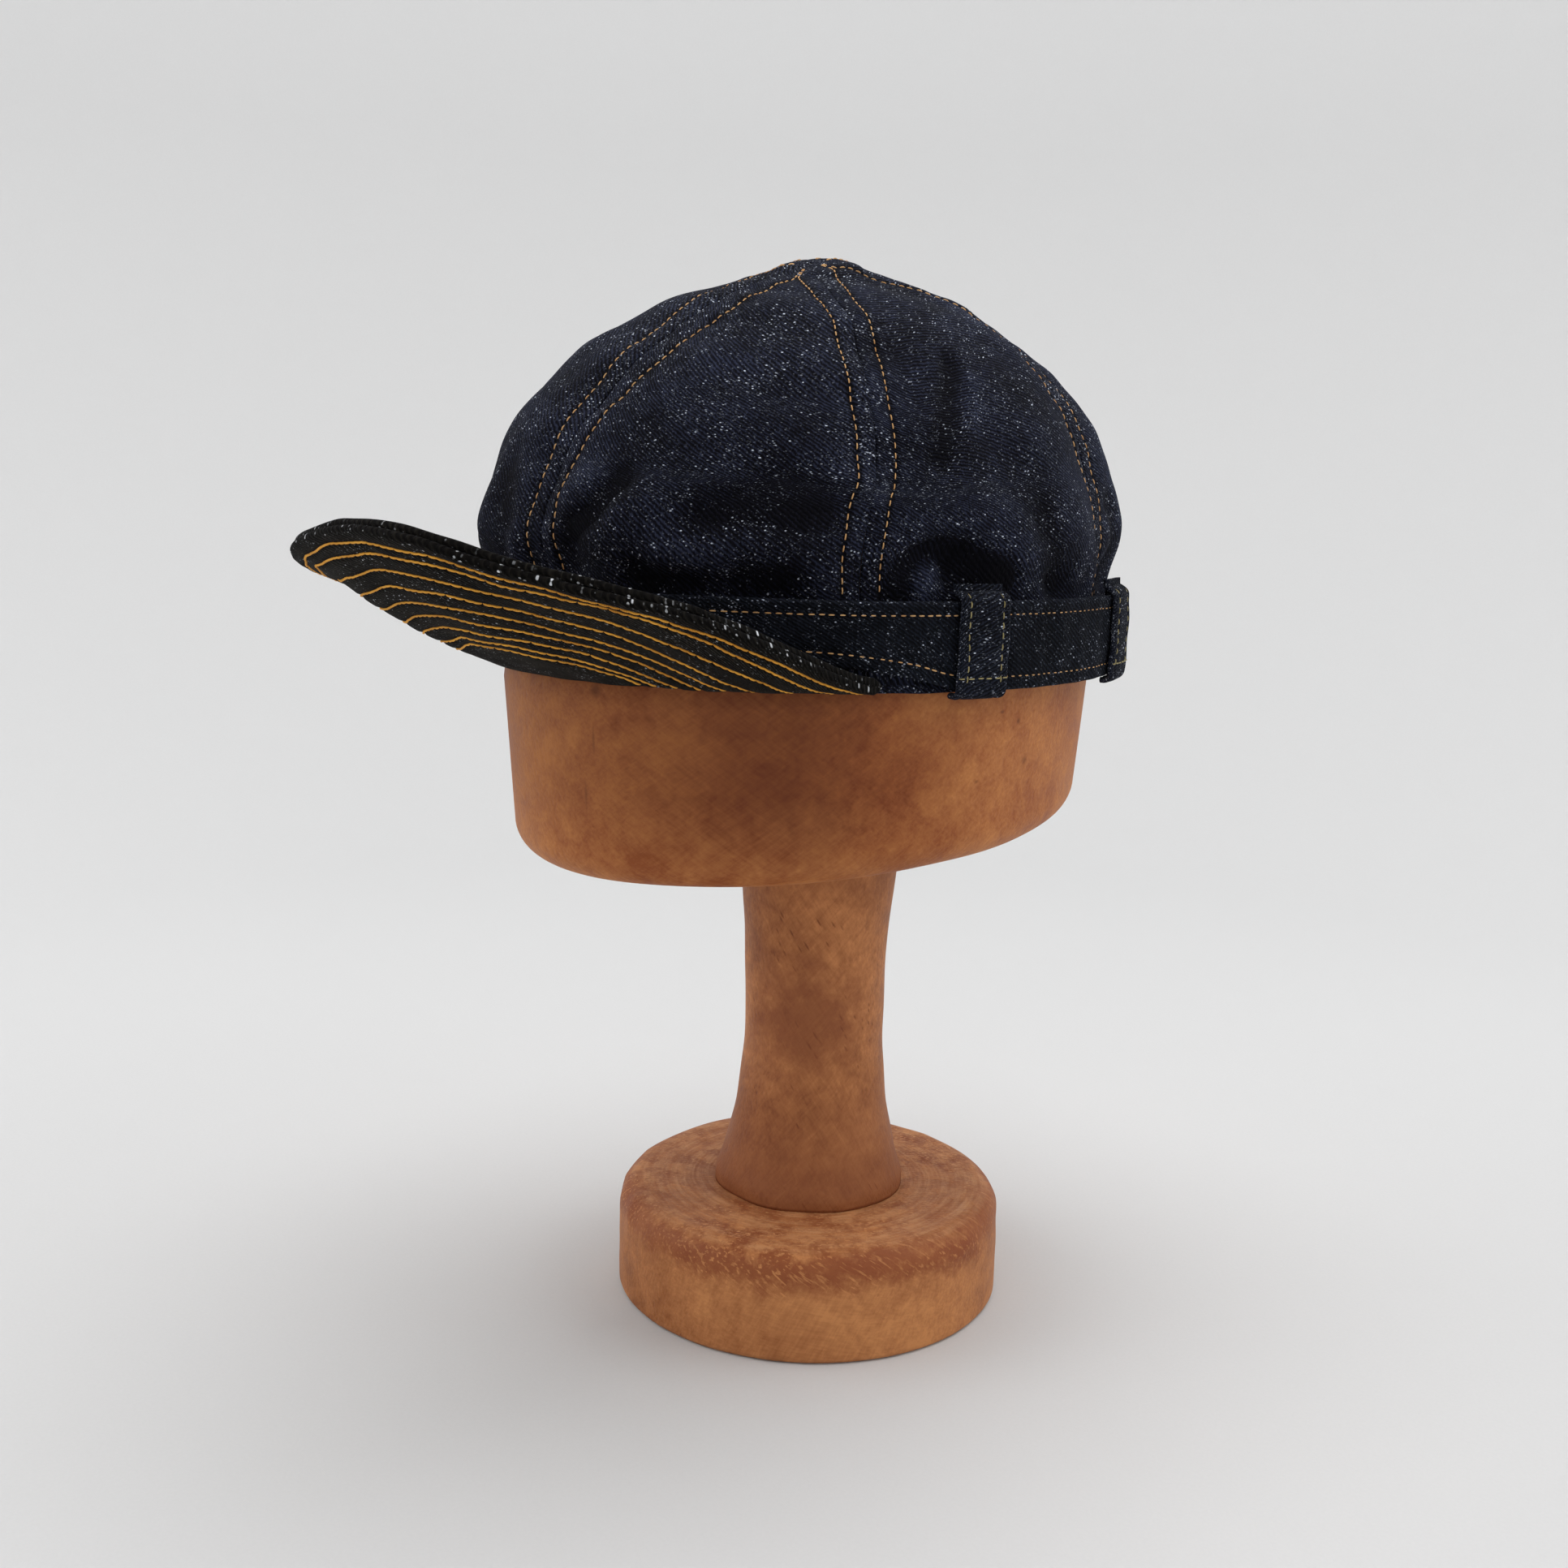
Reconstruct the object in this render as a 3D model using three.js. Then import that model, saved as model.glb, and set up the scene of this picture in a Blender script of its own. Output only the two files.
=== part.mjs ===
// A denim railroad engineer cap on a turned wooden hat stand, in millimetres.
// +Z is up, -Y is the front of the cap and +X is its wearer's left.
// The origin is the middle of the stand's underside.
import * as THREE from 'three';

// Driving dimensions of the stand
const baseRadius = 63.5;
const baseHeight = 35.3;
const baseTopRound = 5;
const baseFootRound = 2;
const postLength = 122.8;
const postWaistRadius = 22.8;
const blockLength = 204;
const blockWidth = 160.8;
const blockDepth = 53.3;
const blockTaper = 0.075;
const blockEdgeRound = 10.6;
const blockForward = 5.7;
const blockToRight = 2;
const noseSlope = 0.055;
const domeGap = 12;

// Driving dimensions of the cap
const clothThickness = 1.6;
const pieceGap = 0.3;
const backSlack = 6;
const sideSlack = 2.6;
const capToLeft = 1;
const rimBelowLevel = 1.3;
const rimTiltDegrees = 1;
const crownHeight = 121.8;
const panelPuff = 0.063;
const panelFullness = 0.8;
const dentDepth = 5;
const seamAngleDegrees = 60.8;
const visorWidth = 74.6;
const visorThickness = 3.6;
const visorEdgeThickness = 5;
const visorEndDegrees = 60.9;
const visorCurlDegrees = 30;
const visorForwardPull = 0.08;
const beltHeight = 24.6;
const beltThickness = 2;
const beltHemGap = 0.6;
const beltEase = 0.6;
const loopWidth = 17;
const loopThickness = 1.8;
const loopTack = 3.4;
const seamInset = 0.75 * pieceGap;
const widestInset = 0.25;

// How finely the curved surfaces are divided
const panelColumns = 10;
const panelRows = 16;
const visorColumns = 36;
const visorRows = 8;
const beltColumns = 72;
const beltRows = 4;
const loopColumns = 3;
const ringColumns = 48;
const roundSteps = 4;
const curlSteps = 8;
const reachSteps = 40;
const normalStep = 0.004;

// The post: height as a share of its length, radius as a share of its waist
const postProfile = [
  { height: 0, radius: 1.375 },
  { height: 0.03, radius: 1.36 },
  { height: 0.08, radius: 1.265 },
  { height: 0.15, radius: 1.17 },
  { height: 0.23, radius: 1.09 },
  { height: 0.36, radius: 1.018 },
  { height: 0.47, radius: 1 },
  { height: 0.58, radius: 1.012 },
  { height: 0.7, radius: 1.045 },
  { height: 0.82, radius: 1.1 },
  { height: 1, radius: 1.2 },
];

// The block above the cap's rim: height as a share of its dome, size as a share of its oval
const domeProfile = [
  { height: 0, size: 1 },
  { height: 0.12, size: 0.985 },
  { height: 0.26, size: 0.95 },
  { height: 0.44, size: 0.885 },
  { height: 0.62, size: 0.79 },
  { height: 0.78, size: 0.65 },
  { height: 0.9, size: 0.47 },
  { height: 0.97, size: 0.27 },
  { height: 1, size: 0.1 },
];

// The crown along its seams: height as a share of the crown, size as a share of its oval,
// puff as a share of the panel puff, and its lean as shares of the crown's height
const crownProfile = [
  { height: 0, size: 1, puff: 0, forward: 0, toLeft: 0 },
  { height: 0.1, size: 0.97, puff: 0.3, forward: 0.01, toLeft: -0.003 },
  { height: 0.2, size: 0.962, puff: 0.66, forward: 0.021, toLeft: -0.006 },
  { height: 0.3, size: 0.982, puff: 0.86, forward: 0.029, toLeft: -0.009 },
  { height: 0.38, size: 0.968, puff: 0.95, forward: 0.025, toLeft: -0.011 },
  { height: 0.47, size: 0.935, puff: 1, forward: 0.016, toLeft: -0.013 },
  { height: 0.6, size: 0.865, puff: 1.05, forward: 0.007, toLeft: -0.016 },
  { height: 0.75, size: 0.709, puff: 1, forward: -0.002, toLeft: -0.02 },
  { height: 0.87, size: 0.491, puff: 0.8, forward: -0.009, toLeft: -0.025 },
  { height: 0.95, size: 0.246, puff: 0.45, forward: -0.012, toLeft: -0.028 },
  { height: 0.985, size: 0.11, puff: 0.1, forward: -0.013, toLeft: -0.029 },
  { height: 1, size: 0.014, puff: 0, forward: -0.014, toLeft: -0.029 },
];

// Soft dents of the crown: the angle round it in degrees, height and reach as shares of
// its height, spread in degrees, depth as a share of the dent depth
const crownDents = [
  { angle: 8, height: 0.25, spread: 9, reach: 0.07, depth: 0.9 },
  { angle: 43, height: 0.22, spread: 10, reach: 0.06, depth: 0.6 },
  { angle: 74, height: 0.29, spread: 7, reach: 0.06, depth: 1 },
  { angle: 84, height: 0.62, spread: 6, reach: 0.13, depth: 0.7 },
  { angle: 97, height: 0.24, spread: 9, reach: 0.05, depth: 0.6 },
  { angle: 131, height: 0.25, spread: 9, reach: 0.07, depth: 0.8 },
  { angle: 166, height: 0.27, spread: 10, reach: 0.06, depth: 0.7 },
  { angle: -20, height: 0.24, spread: 10, reach: 0.06, depth: 0.7 },
  { angle: -50, height: 0.28, spread: 8, reach: 0.07, depth: 0.8 },
  { angle: -84, height: 0.25, spread: 9, reach: 0.06, depth: 0.9 },
  { angle: -100, height: 0.6, spread: 8, reach: 0.12, depth: 0.6 },
  { angle: -135, height: 0.26, spread: 10, reach: 0.06, depth: 0.7 },
];

// The visor from its right end, side -1, to its left end, side 1: width as a share of the visor's
// width, rise in degrees, curl as a share of the visor's curl. Its right half droops a little
const visorProfile = [
  { side: -1, width: 0.059, rise: 8, curl: 0 },
  { side: -0.8, width: 0.29, rise: 26, curl: 1.2 },
  { side: -0.6, width: 0.574, rise: 29.9, curl: 0.79 },
  { side: -0.45, width: 0.768, rise: 26.7, curl: -0.24 },
  { side: -0.3, width: 0.879, rise: 27.9, curl: -0.1 },
  { side: -0.14, width: 0.965, rise: 30.3, curl: 1.02 },
  { side: 0, width: 1, rise: 32.4, curl: 0.97 },
  { side: 0.14, width: 0.995, rise: 32, curl: 0.92 },
  { side: 0.3, width: 0.87, rise: 30, curl: 0.1 },
  { side: 0.45, width: 0.738, rise: 29.4, curl: -0.05 },
  { side: 0.6, width: 0.577, rise: 29.5, curl: 0.8 },
  { side: 0.8, width: 0.29, rise: 26, curl: 1.2 },
  { side: 1, width: 0.059, rise: 8, curl: 0 },
];

// The belt round the cap, from the front to the back: lift of its lower edge and
// how far it stands off, as shares of the belt's height
const beltProfile = [
  { angle: 0, lift: 0.3, standOff: 0 },
  { angle: 40, lift: 0.3, standOff: 0 },
  { angle: 54, lift: 0.27, standOff: 0.05 },
  { angle: 65, lift: 0.17, standOff: 0.07 },
  { angle: 75, lift: 0.01, standOff: 0.02 },
  { angle: 120, lift: 0, standOff: 0 },
  { angle: 180, lift: 0, standOff: 0 },
];

const beltLoops = [
  { name: 'belt_loop_1', angle: 77.5 },
  { name: 'belt_loop_2', angle: 118 },
  { name: 'belt_loop_3', angle: -77.5 },
  { name: 'belt_loop_4', angle: -118 },
];

// Levels and sizes that follow from the driving dimensions
const postFoot = baseHeight + pieceGap;
const blockUnderside = postFoot + postLength + pieceGap;
const blockLevel = blockUnderside + blockDepth - noseSlope * blockForward;
const blockX = -blockToRight;
const blockY = -blockForward;
const capHalfLength = blockLength / 2 + pieceGap + backSlack / 2 + clothThickness;
const capHalfWidth = blockWidth / 2 + pieceGap + sideSlack + clothThickness;
const capX = blockX + capToLeft;
const capY = blockY + backSlack / 2;
const capRim = blockLevel - rimBelowLevel;
const domeHeight = crownHeight - rimBelowLevel - clothThickness - domeGap;
const fullTurn = Math.PI * 2;

const radians = (degrees) => THREE.MathUtils.degToRad(degrees);

// Reads a column of a table at a place between its rows, along a smooth curve
function readTable(table, key, column, place) {
  const last = table.length - 1;
  let row = 0;
  while (row < last - 1 && place > table[row + 1][key]) {
    row += 1;
  }
  const slopeAt = (index) => {
    const before = table[Math.max(index - 1, 0)];
    const after = table[Math.min(index + 1, last)];
    return (after[column] - before[column]) / (after[key] - before[key]);
  };
  const span = table[row + 1][key] - table[row][key];
  const t = THREE.MathUtils.clamp((place - table[row][key]) / span, 0, 1);
  const startWeight = (1 + 2 * t) * (1 - t) ** 2;
  const endWeight = t * t * (3 - 2 * t);
  const bend = t * (1 - t) * ((1 - t) * slopeAt(row) - t * slopeAt(row + 1)) * span;
  return startWeight * table[row][column] + endWeight * table[row + 1][column] + bend;
}

// Turns triangles so that they face out of the closed body that they make
function bodyFrom(points, triangles) {
  let volume = 0;
  const cross = new THREE.Vector3();
  for (const [a, b, c] of triangles) {
    volume += cross.crossVectors(points[b], points[c]).dot(points[a]);
  }
  const indices = triangles.flatMap(([a, b, c]) => (volume < 0 ? [a, c, b] : [a, b, c]));
  const geometry = new THREE.BufferGeometry().setFromPoints(points);
  geometry.setIndex(indices);
  geometry.computeVertexNormals();
  return geometry;
}

// A closed sheet with a wall thickness. pointAt(u, v, face) gives its points, with face 0 for
// the outer side and 1 for the inner side. A wrapped sheet joins its last column to its first
function sheetBody(pointAt, columns, rows, wrapped = false) {
  const across = wrapped ? columns : columns + 1;
  const points = [];
  for (const face of [0, 1]) {
    for (let row = 0; row <= rows; row += 1) {
      for (let column = 0; column < across; column += 1) {
        points.push(pointAt(column / columns, row / rows, face));
      }
    }
  }
  const at = (column, row, face) => (face * (rows + 1) + row) * across + (column % across);
  const triangles = [];
  const quad = (a, b, c, d) => {
    triangles.push([a, b, c], [a, c, d]);
  };
  for (let row = 0; row < rows; row += 1) {
    for (let column = 0; column < columns; column += 1) {
      const next = column + 1;
      quad(at(column, row, 0), at(next, row, 0), at(next, row + 1, 0), at(column, row + 1, 0));
      quad(at(column, row, 1), at(column, row + 1, 1), at(next, row + 1, 1), at(next, row, 1));
    }
  }
  for (let column = 0; column < columns; column += 1) {
    const next = column + 1;
    quad(at(column, 0, 0), at(column, 0, 1), at(next, 0, 1), at(next, 0, 0));
    quad(at(column, rows, 0), at(next, rows, 0), at(next, rows, 1), at(column, rows, 1));
  }
  for (let row = 0; row < rows && !wrapped; row += 1) {
    quad(at(0, row, 0), at(0, row + 1, 0), at(0, row + 1, 1), at(0, row, 1));
    quad(at(columns, row, 0), at(columns, row, 1), at(columns, row + 1, 1), at(columns, row + 1, 0));
  }
  return bodyFrom(points, triangles);
}

// A closed body of level rings from its lowest to its highest, closed at a middle point each end
function ringBody(ringPoint, rings, lowest, highest) {
  const points = [lowest];
  for (const ring of rings) {
    for (let column = 0; column < ringColumns; column += 1) {
      points.push(ringPoint(ring, (column / ringColumns) * fullTurn));
    }
  }
  points.push(highest);
  const top = points.length - 1;
  const at = (ring, column) => 1 + ring * ringColumns + (column % ringColumns);
  const triangles = [];
  for (let column = 0; column < ringColumns; column += 1) {
    triangles.push([0, at(0, column + 1), at(0, column)]);
    triangles.push([top, at(rings.length - 1, column), at(rings.length - 1, column + 1)]);
    for (let ring = 0; ring < rings.length - 1; ring += 1) {
      const next = column + 1;
      triangles.push([at(ring, column), at(ring, next), at(ring + 1, next)]);
      triangles.push([at(ring, column), at(ring + 1, next), at(ring + 1, column)]);
    }
  }
  return bodyFrom(points, triangles);
}

// The direction square to a surface, from points a small step apart on it
function normalOf(surfaceAt, u, v) {
  const ahead = (place) => Math.min(place + normalStep, 1);
  const behind = (place) => Math.max(place - normalStep, 0);
  const alongU = surfaceAt(ahead(u), v).sub(surfaceAt(behind(u), v));
  const alongV = surfaceAt(u, ahead(v)).sub(surfaceAt(u, behind(v)));
  return alongU.cross(alongV).normalize();
}

const denim = (color) => new THREE.MeshStandardMaterial({ color, roughness: 0.92, metalness: 0 });
const wood = (color) => new THREE.MeshStandardMaterial({ color, roughness: 0.5, metalness: 0 });

function named(name, geometry, material) {
  const mesh = new THREE.Mesh(geometry, material);
  mesh.name = name;
  return mesh;
}

// The height of the slanting plane that is the block's underside
const undersideAt = (y) => blockLevel - blockDepth + noseSlope * (y - blockY);

function baseGeometry() {
  const profile = [new THREE.Vector2(0, 0)];
  const addRound = (radius, y, round, from) => {
    for (let step = 0; step <= roundSteps; step += 1) {
      const turn = from + (step / roundSteps) * (Math.PI / 2);
      profile.push(new THREE.Vector2(radius + round * Math.cos(turn), y + round * Math.sin(turn)));
    }
  };
  addRound(baseRadius - baseFootRound, baseFootRound, baseFootRound, -Math.PI / 2);
  addRound(baseRadius - baseTopRound, baseHeight - baseTopRound, baseTopRound, 0);
  profile.push(new THREE.Vector2(0, baseHeight));
  return new THREE.LatheGeometry(profile, ringColumns).rotateX(Math.PI / 2);
}

function postGeometry() {
  const profile = postProfile.map(
    ({ height, radius }) => new THREE.Vector2(radius * postWaistRadius, postFoot + height * postLength),
  );
  profile.unshift(new THREE.Vector2(0, postFoot));
  profile.push(new THREE.Vector2(0, postFoot + postLength));
  const geometry = new THREE.LatheGeometry(profile, ringColumns).rotateX(Math.PI / 2);
  const position = geometry.attributes.position;
  const topEdge = postFoot + postLength - pieceGap;
  for (let index = 0; index < position.count; index += 1) {
    if (position.getZ(index) > topEdge) {
      position.setZ(index, undersideAt(position.getY(index)) - pieceGap);
    }
  }
  return geometry;
}

function blockGeometry() {
  const rings = [];
  const straight = blockDepth - blockEdgeRound;
  for (let step = 0; step <= roundSteps; step += 1) {
    const turn = (step / roundSteps) * (Math.PI / 2);
    const inset = blockTaper * straight + blockEdgeRound * (1 - Math.sin(turn));
    rings.push({ inset, share: 1, height: -blockDepth + blockEdgeRound * (1 - Math.cos(turn)) });
  }
  rings.push({ inset: blockTaper * straight * 0.5, share: 1, height: -straight * 0.5 });
  for (const { height, size } of domeProfile) {
    rings.push({ inset: 0, share: size, height: height * domeHeight });
  }
  const slanted = (x, y, height) => new THREE.Vector3(x, y, blockLevel + height + noseSlope * (y - blockY));
  const ringPoint = ({ inset, share, height }, turn) => {
    const halfWidth = (blockWidth / 2 - inset) * share;
    const halfLength = (blockLength / 2 - inset) * share;
    return slanted(blockX + halfWidth * Math.cos(turn), blockY + halfLength * Math.sin(turn), height);
  };
  return ringBody(ringPoint, rings, slanted(blockX, blockY, -blockDepth), slanted(blockX, blockY, domeHeight));
}

// The cap's pieces are made about the middle of its rim, with the angle 0 at the front
const ovalPoint = (angle, size = 1) => new THREE.Vector3(
  capHalfWidth * size * Math.sin(angle),
  -capHalfLength * size * Math.cos(angle),
  0,
);

const ovalNormal = (angle) => new THREE.Vector3(
  capHalfLength * Math.sin(angle),
  -capHalfWidth * Math.cos(angle),
  0,
).normalize();

const crownCurve = new THREE.SplineCurve(
  crownProfile.map(({ height, size }) => new THREE.Vector2(size * capHalfLength, height * crownHeight)),
);

const seamAngles = [0, seamAngleDegrees, 180 - seamAngleDegrees, 180, 180 + seamAngleDegrees,
  360 - seamAngleDegrees, 360].map(radians);

// A point on the outside of the crown: the angle round it, its share along the curve from
// rim to tip, and its share across the panel
function crownPoint(angle, along, across) {
  const place = crownCurve.getPointAt(along);
  const height = place.y / crownHeight;
  const puff = panelPuff * readTable(crownProfile, 'height', 'puff', height);
  const bulge = Math.sin(Math.PI * across) ** panelFullness;
  const point = ovalPoint(angle, (place.x / capHalfLength) * (1 + puff * bulge));
  let dent = 0;
  for (const { angle: middle, height: level, spread, reach, depth } of crownDents) {
    const turn = THREE.MathUtils.euclideanModulo(angle - radians(middle) + Math.PI, fullTurn) - Math.PI;
    const off = (turn / radians(spread)) ** 2 + ((height - level) / reach) ** 2;
    dent += depth * dentDepth * Math.exp(-off);
  }
  point.addScaledVector(ovalNormal(angle), -dent);
  point.y -= readTable(crownProfile, 'height', 'forward', height) * crownHeight;
  point.x += readTable(crownProfile, 'height', 'toLeft', height) * crownHeight;
  point.z = place.y;
  return point;
}

function panelGeometry(panel) {
  const start = seamAngles[panel];
  const end = seamAngles[panel + 1];
  const surface = (u, v) => {
    const girth = crownCurve.getPointAt(v).x * (end - start);
    const edge = Math.min(seamInset / girth, widestInset);
    const across = edge + u * (1 - 2 * edge);
    return crownPoint(start + across * (end - start), v, across);
  };
  const pointAt = (u, v, face) => {
    const point = surface(u, v);
    const outward = normalOf(surface, u, v);
    return point.addScaledVector(outward, -face * clothThickness);
  };
  return sheetBody(pointAt, panelColumns, panelRows);
}

// The visor's middle surface, from its seam at the rim, v = 0, to its outer edge, v = 1
function visorSurface(u, v) {
  const side = 2 * u - 1;
  const angle = side * radians(visorEndDegrees);
  const width = visorWidth * readTable(visorProfile, 'side', 'width', side);
  const rise = radians(readTable(visorProfile, 'side', 'rise', side));
  const curl = radians(visorCurlDegrees) * readTable(visorProfile, 'side', 'curl', side);
  const outward = ovalNormal(angle);
  const leaning = outward.clone().multiplyScalar(1 - visorForwardPull);
  leaning.y -= visorForwardPull;
  leaning.normalize();
  const rootSlope = rise - curl / 2;
  const root = pieceGap + seamInset + (visorThickness / 2) * Math.abs(Math.sin(rootSlope));
  const point = ovalPoint(angle).addScaledVector(outward, root);
  point.z = (visorThickness / 2) * Math.cos(rootSlope);
  const stride = (width * v) / curlSteps;
  for (let step = 0; step < curlSteps; step += 1) {
    const slope = rise + curl * (((step + 0.5) / curlSteps) * v - 0.5);
    point.addScaledVector(leaning, stride * Math.cos(slope));
    point.z += stride * Math.sin(slope);
  }
  return point;
}

function visorGeometry() {
  const pointAt = (u, v, face) => {
    const thickness = THREE.MathUtils.lerp(visorThickness, visorEdgeThickness, v * v);
    const normal = normalOf(visorSurface, u, v);
    return visorSurface(u, v).addScaledVector(normal, (0.5 - face) * thickness);
  };
  return sheetBody(pointAt, visorColumns, visorRows);
}

// How far out from the rim's oval a piece must lie to clear the crown between two heights
function crownReach(angle, lowest, highest) {
  const whole = THREE.MathUtils.euclideanModulo(angle, fullTurn);
  const panel = seamAngles.findIndex((seam, index) => whole < (seamAngles[index + 1] ?? Infinity));
  const start = seamAngles[panel];
  const across = (whole - start) / (seamAngles[panel + 1] - start);
  const outward = ovalNormal(angle);
  const rimPoint = ovalPoint(angle);
  let reach = 0;
  for (let step = 0; step <= reachSteps; step += 1) {
    const point = crownPoint(angle, step / reachSteps / 2, across);
    if (point.z >= lowest && point.z <= highest) {
      reach = Math.max(reach, point.sub(rimPoint).dot(outward));
    }
  }
  return reach;
}

// The place of the belt at an angle: its inner face and its two edges
function beltAt(angle) {
  const turn = Math.abs(THREE.MathUtils.euclideanModulo(angle + Math.PI, fullTurn) - Math.PI);
  const place = THREE.MathUtils.radToDeg(turn);
  const standOff = beltHeight * readTable(beltProfile, 'angle', 'standOff', place);
  const top = beltHemGap + beltHeight;
  const halfStep = fullTurn / beltColumns / 2;
  const reaches = [-1, 0, 1].map((side) => crownReach(angle + side * halfStep, 0, top + beltThickness));
  return {
    inner: Math.max(...reaches) + pieceGap + beltEase + standOff,
    bottom: beltHemGap + beltHeight * readTable(beltProfile, 'angle', 'lift', place),
    top,
  };
}

function beltGeometry() {
  const places = [];
  for (let column = 0; column < beltColumns; column += 1) {
    places.push(beltAt((column / beltColumns) * fullTurn));
  }
  const pointAt = (u, v, face) => {
    const angle = u * fullTurn;
    const { inner, bottom, top } = places[Math.round(u * beltColumns) % beltColumns];
    const point = ovalPoint(angle).addScaledVector(ovalNormal(angle), inner + (1 - face) * beltThickness);
    point.z = THREE.MathUtils.lerp(bottom, top, v);
    return point;
  };
  return sheetBody(pointAt, beltColumns, beltRows, true);
}

// Where a loop measures the belt that it holds, in half widths from its middle
const heldPlaces = [-1.4, -0.7, 0, 0.7, 1.4];

// A belt loop: a strap sewn to the crown above the belt, down over the belt and in under it
function loopGeometry(middle) {
  const halfAngle = loopWidth / 2 / Math.hypot(capHalfWidth * Math.cos(middle), capHalfLength * Math.sin(middle));
  const half = loopThickness / 2;
  const held = heldPlaces.map((side) => beltAt(middle + side * halfAngle));
  const top = beltHemGap + beltHeight;
  const bottom = Math.min(...held.map((place) => place.bottom));
  const out = Math.max(...held.map(({ inner }) => inner)) + beltThickness + pieceGap + half;
  const pathAt = (angle) => {
    const above = top + pieceGap + half;
    const below = bottom - pieceGap - half;
    const tacked = [-0.5, 0, 0.5].map(
      (side) => crownReach(angle + side * halfAngle, top, above + loopTack + loopThickness),
    );
    const seat = Math.max(...tacked) + pieceGap + half;
    const hemSeat = pieceGap + half;
    const bend = loopThickness;
    return [
      [seat, above + loopTack],
      [seat + bend / 5, above + bend / 2],
      [Math.max(out - bend, seat + bend / 2), above],
      [out, above],
      [out, above - bend],
      [out, (above + below) / 2],
      [out, below + bend],
      [out, below],
      [out - bend, below],
      [hemSeat, below],
    ];
  };
  const paths = [];
  for (let column = 0; column <= loopColumns; column += 1) {
    paths.push(pathAt(middle + (2 * (column / loopColumns) - 1) * halfAngle));
  }
  const rows = paths[0].length - 1;
  const pointAt = (u, v, face) => {
    const path = paths[Math.round(u * loopColumns)];
    const row = Math.round(v * rows);
    const before = path[Math.max(row - 1, 0)];
    const after = path[Math.min(row + 1, rows)];
    const tangent = new THREE.Vector2(after[0] - before[0], after[1] - before[1]).normalize();
    const offset = (0.5 - face) * loopThickness;
    const angle = middle + (2 * u - 1) * halfAngle;
    const radial = path[row][0] - tangent.y * offset;
    const point = ovalPoint(angle).addScaledVector(ovalNormal(angle), radial);
    point.z = path[row][1] + tangent.x * offset;
    return point;
  };
  return sheetBody(pointAt, loopColumns, rows);
}

const cap = new THREE.Group();
cap.position.set(capX, capY, capRim);
cap.rotation.x = radians(-rimTiltDegrees);
for (let panel = 0; panel < seamAngles.length - 1; panel += 1) {
  cap.add(named(`crown_panel_${panel + 1}`, panelGeometry(panel), denim('#23262f')));
}
cap.add(named('visor', visorGeometry(), denim('#2b2c30')));
cap.add(named('belt', beltGeometry(), denim('#20232b')));
for (const { name, angle } of beltLoops) {
  cap.add(named(name, loopGeometry(radians(angle)), denim('#24272f')));
}

const group = new THREE.Group();
group.add(named('stand_base', baseGeometry(), wood('#b07545')));
group.add(named('stand_post', postGeometry(), wood('#ab7344')));
group.add(named('stand_block', blockGeometry(), wood('#a56a3c')));
group.add(cap);

export default group;
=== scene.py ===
import math

import bpy
import numpy as np
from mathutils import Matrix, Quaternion, Vector


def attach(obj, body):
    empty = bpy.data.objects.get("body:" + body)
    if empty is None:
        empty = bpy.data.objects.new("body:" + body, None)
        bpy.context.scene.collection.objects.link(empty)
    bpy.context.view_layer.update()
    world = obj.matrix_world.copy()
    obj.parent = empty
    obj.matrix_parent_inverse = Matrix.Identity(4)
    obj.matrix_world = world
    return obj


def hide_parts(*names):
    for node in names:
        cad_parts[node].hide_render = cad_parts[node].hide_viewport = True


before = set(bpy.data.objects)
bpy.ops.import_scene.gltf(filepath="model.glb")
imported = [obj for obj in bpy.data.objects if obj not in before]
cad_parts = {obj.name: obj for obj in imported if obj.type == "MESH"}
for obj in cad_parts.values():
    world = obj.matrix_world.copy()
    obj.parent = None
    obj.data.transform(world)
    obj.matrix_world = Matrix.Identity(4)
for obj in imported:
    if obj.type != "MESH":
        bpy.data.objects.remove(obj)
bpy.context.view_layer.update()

millimetre = 0.001

# The foot of the stand is one thick disc of beech, turned on a lathe and oiled.
# Its flat top keeps the fine rings of the tool, its upper edge has been knocked
# and rubbed, and it carries the post in its middle.
base_radius = 63.5 * millimetre
base_height = 35.3 * millimetre
base_top_round = 8 * millimetre
base_foot_round = 2 * millimetre
base_columns = 288
base_ring_pitch = 3.1 * millimetre
base_ring_depth = 0.12 * millimetre
base_wear_size = 11 * millimetre
base_wear_depth = 0.5 * millimetre
piece_gap = 0.3 * millimetre
full_turn = 2 * math.pi


def linear(colour):
    """An sRGB hex colour as linear light, with alpha."""
    parts = [int(colour[at:at + 2], 16) / 255 for at in (1, 3, 5)]
    return [c / 12.92 if c <= 0.04045 else ((c + 0.055) / 1.055) ** 2.4 for c in parts] + [1]


def feed(tree, node, **given):
    """Gives a node's sockets a link or a constant each, or, for small names, its settings."""
    for name, value in given.items():
        if name[0].islower():
            setattr(node, name, value)
            continue
        socket = next(s for s in node.inputs
                      if name in (s.identifier, s.name.replace(" ", "_")))
        if isinstance(value, bpy.types.NodeSocket):
            tree.links.new(value, socket)
        else:
            socket.default_value = value


def add(tree, kind, out=0, stops=(), **given):
    """Adds a node with its settings and sockets, and returns one of its outputs."""
    node = tree.nodes.new("ShaderNode" + kind)
    feed(tree, node, **given)
    if stops:
        marks = node.color_ramp.elements
        while len(marks) < len(stops):
            marks.new(0.5)
        for mark, (place, colour) in zip(marks, stops):
            mark.position = place
            mark.color = linear(colour)
    return node.outputs[out]


def new_material(name):
    """A material with one Principled shader, and its node tree."""
    material = bpy.data.materials.new(name)
    material.use_nodes = True
    return material, material.node_tree, material.node_tree.nodes["Principled BSDF"]


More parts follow.
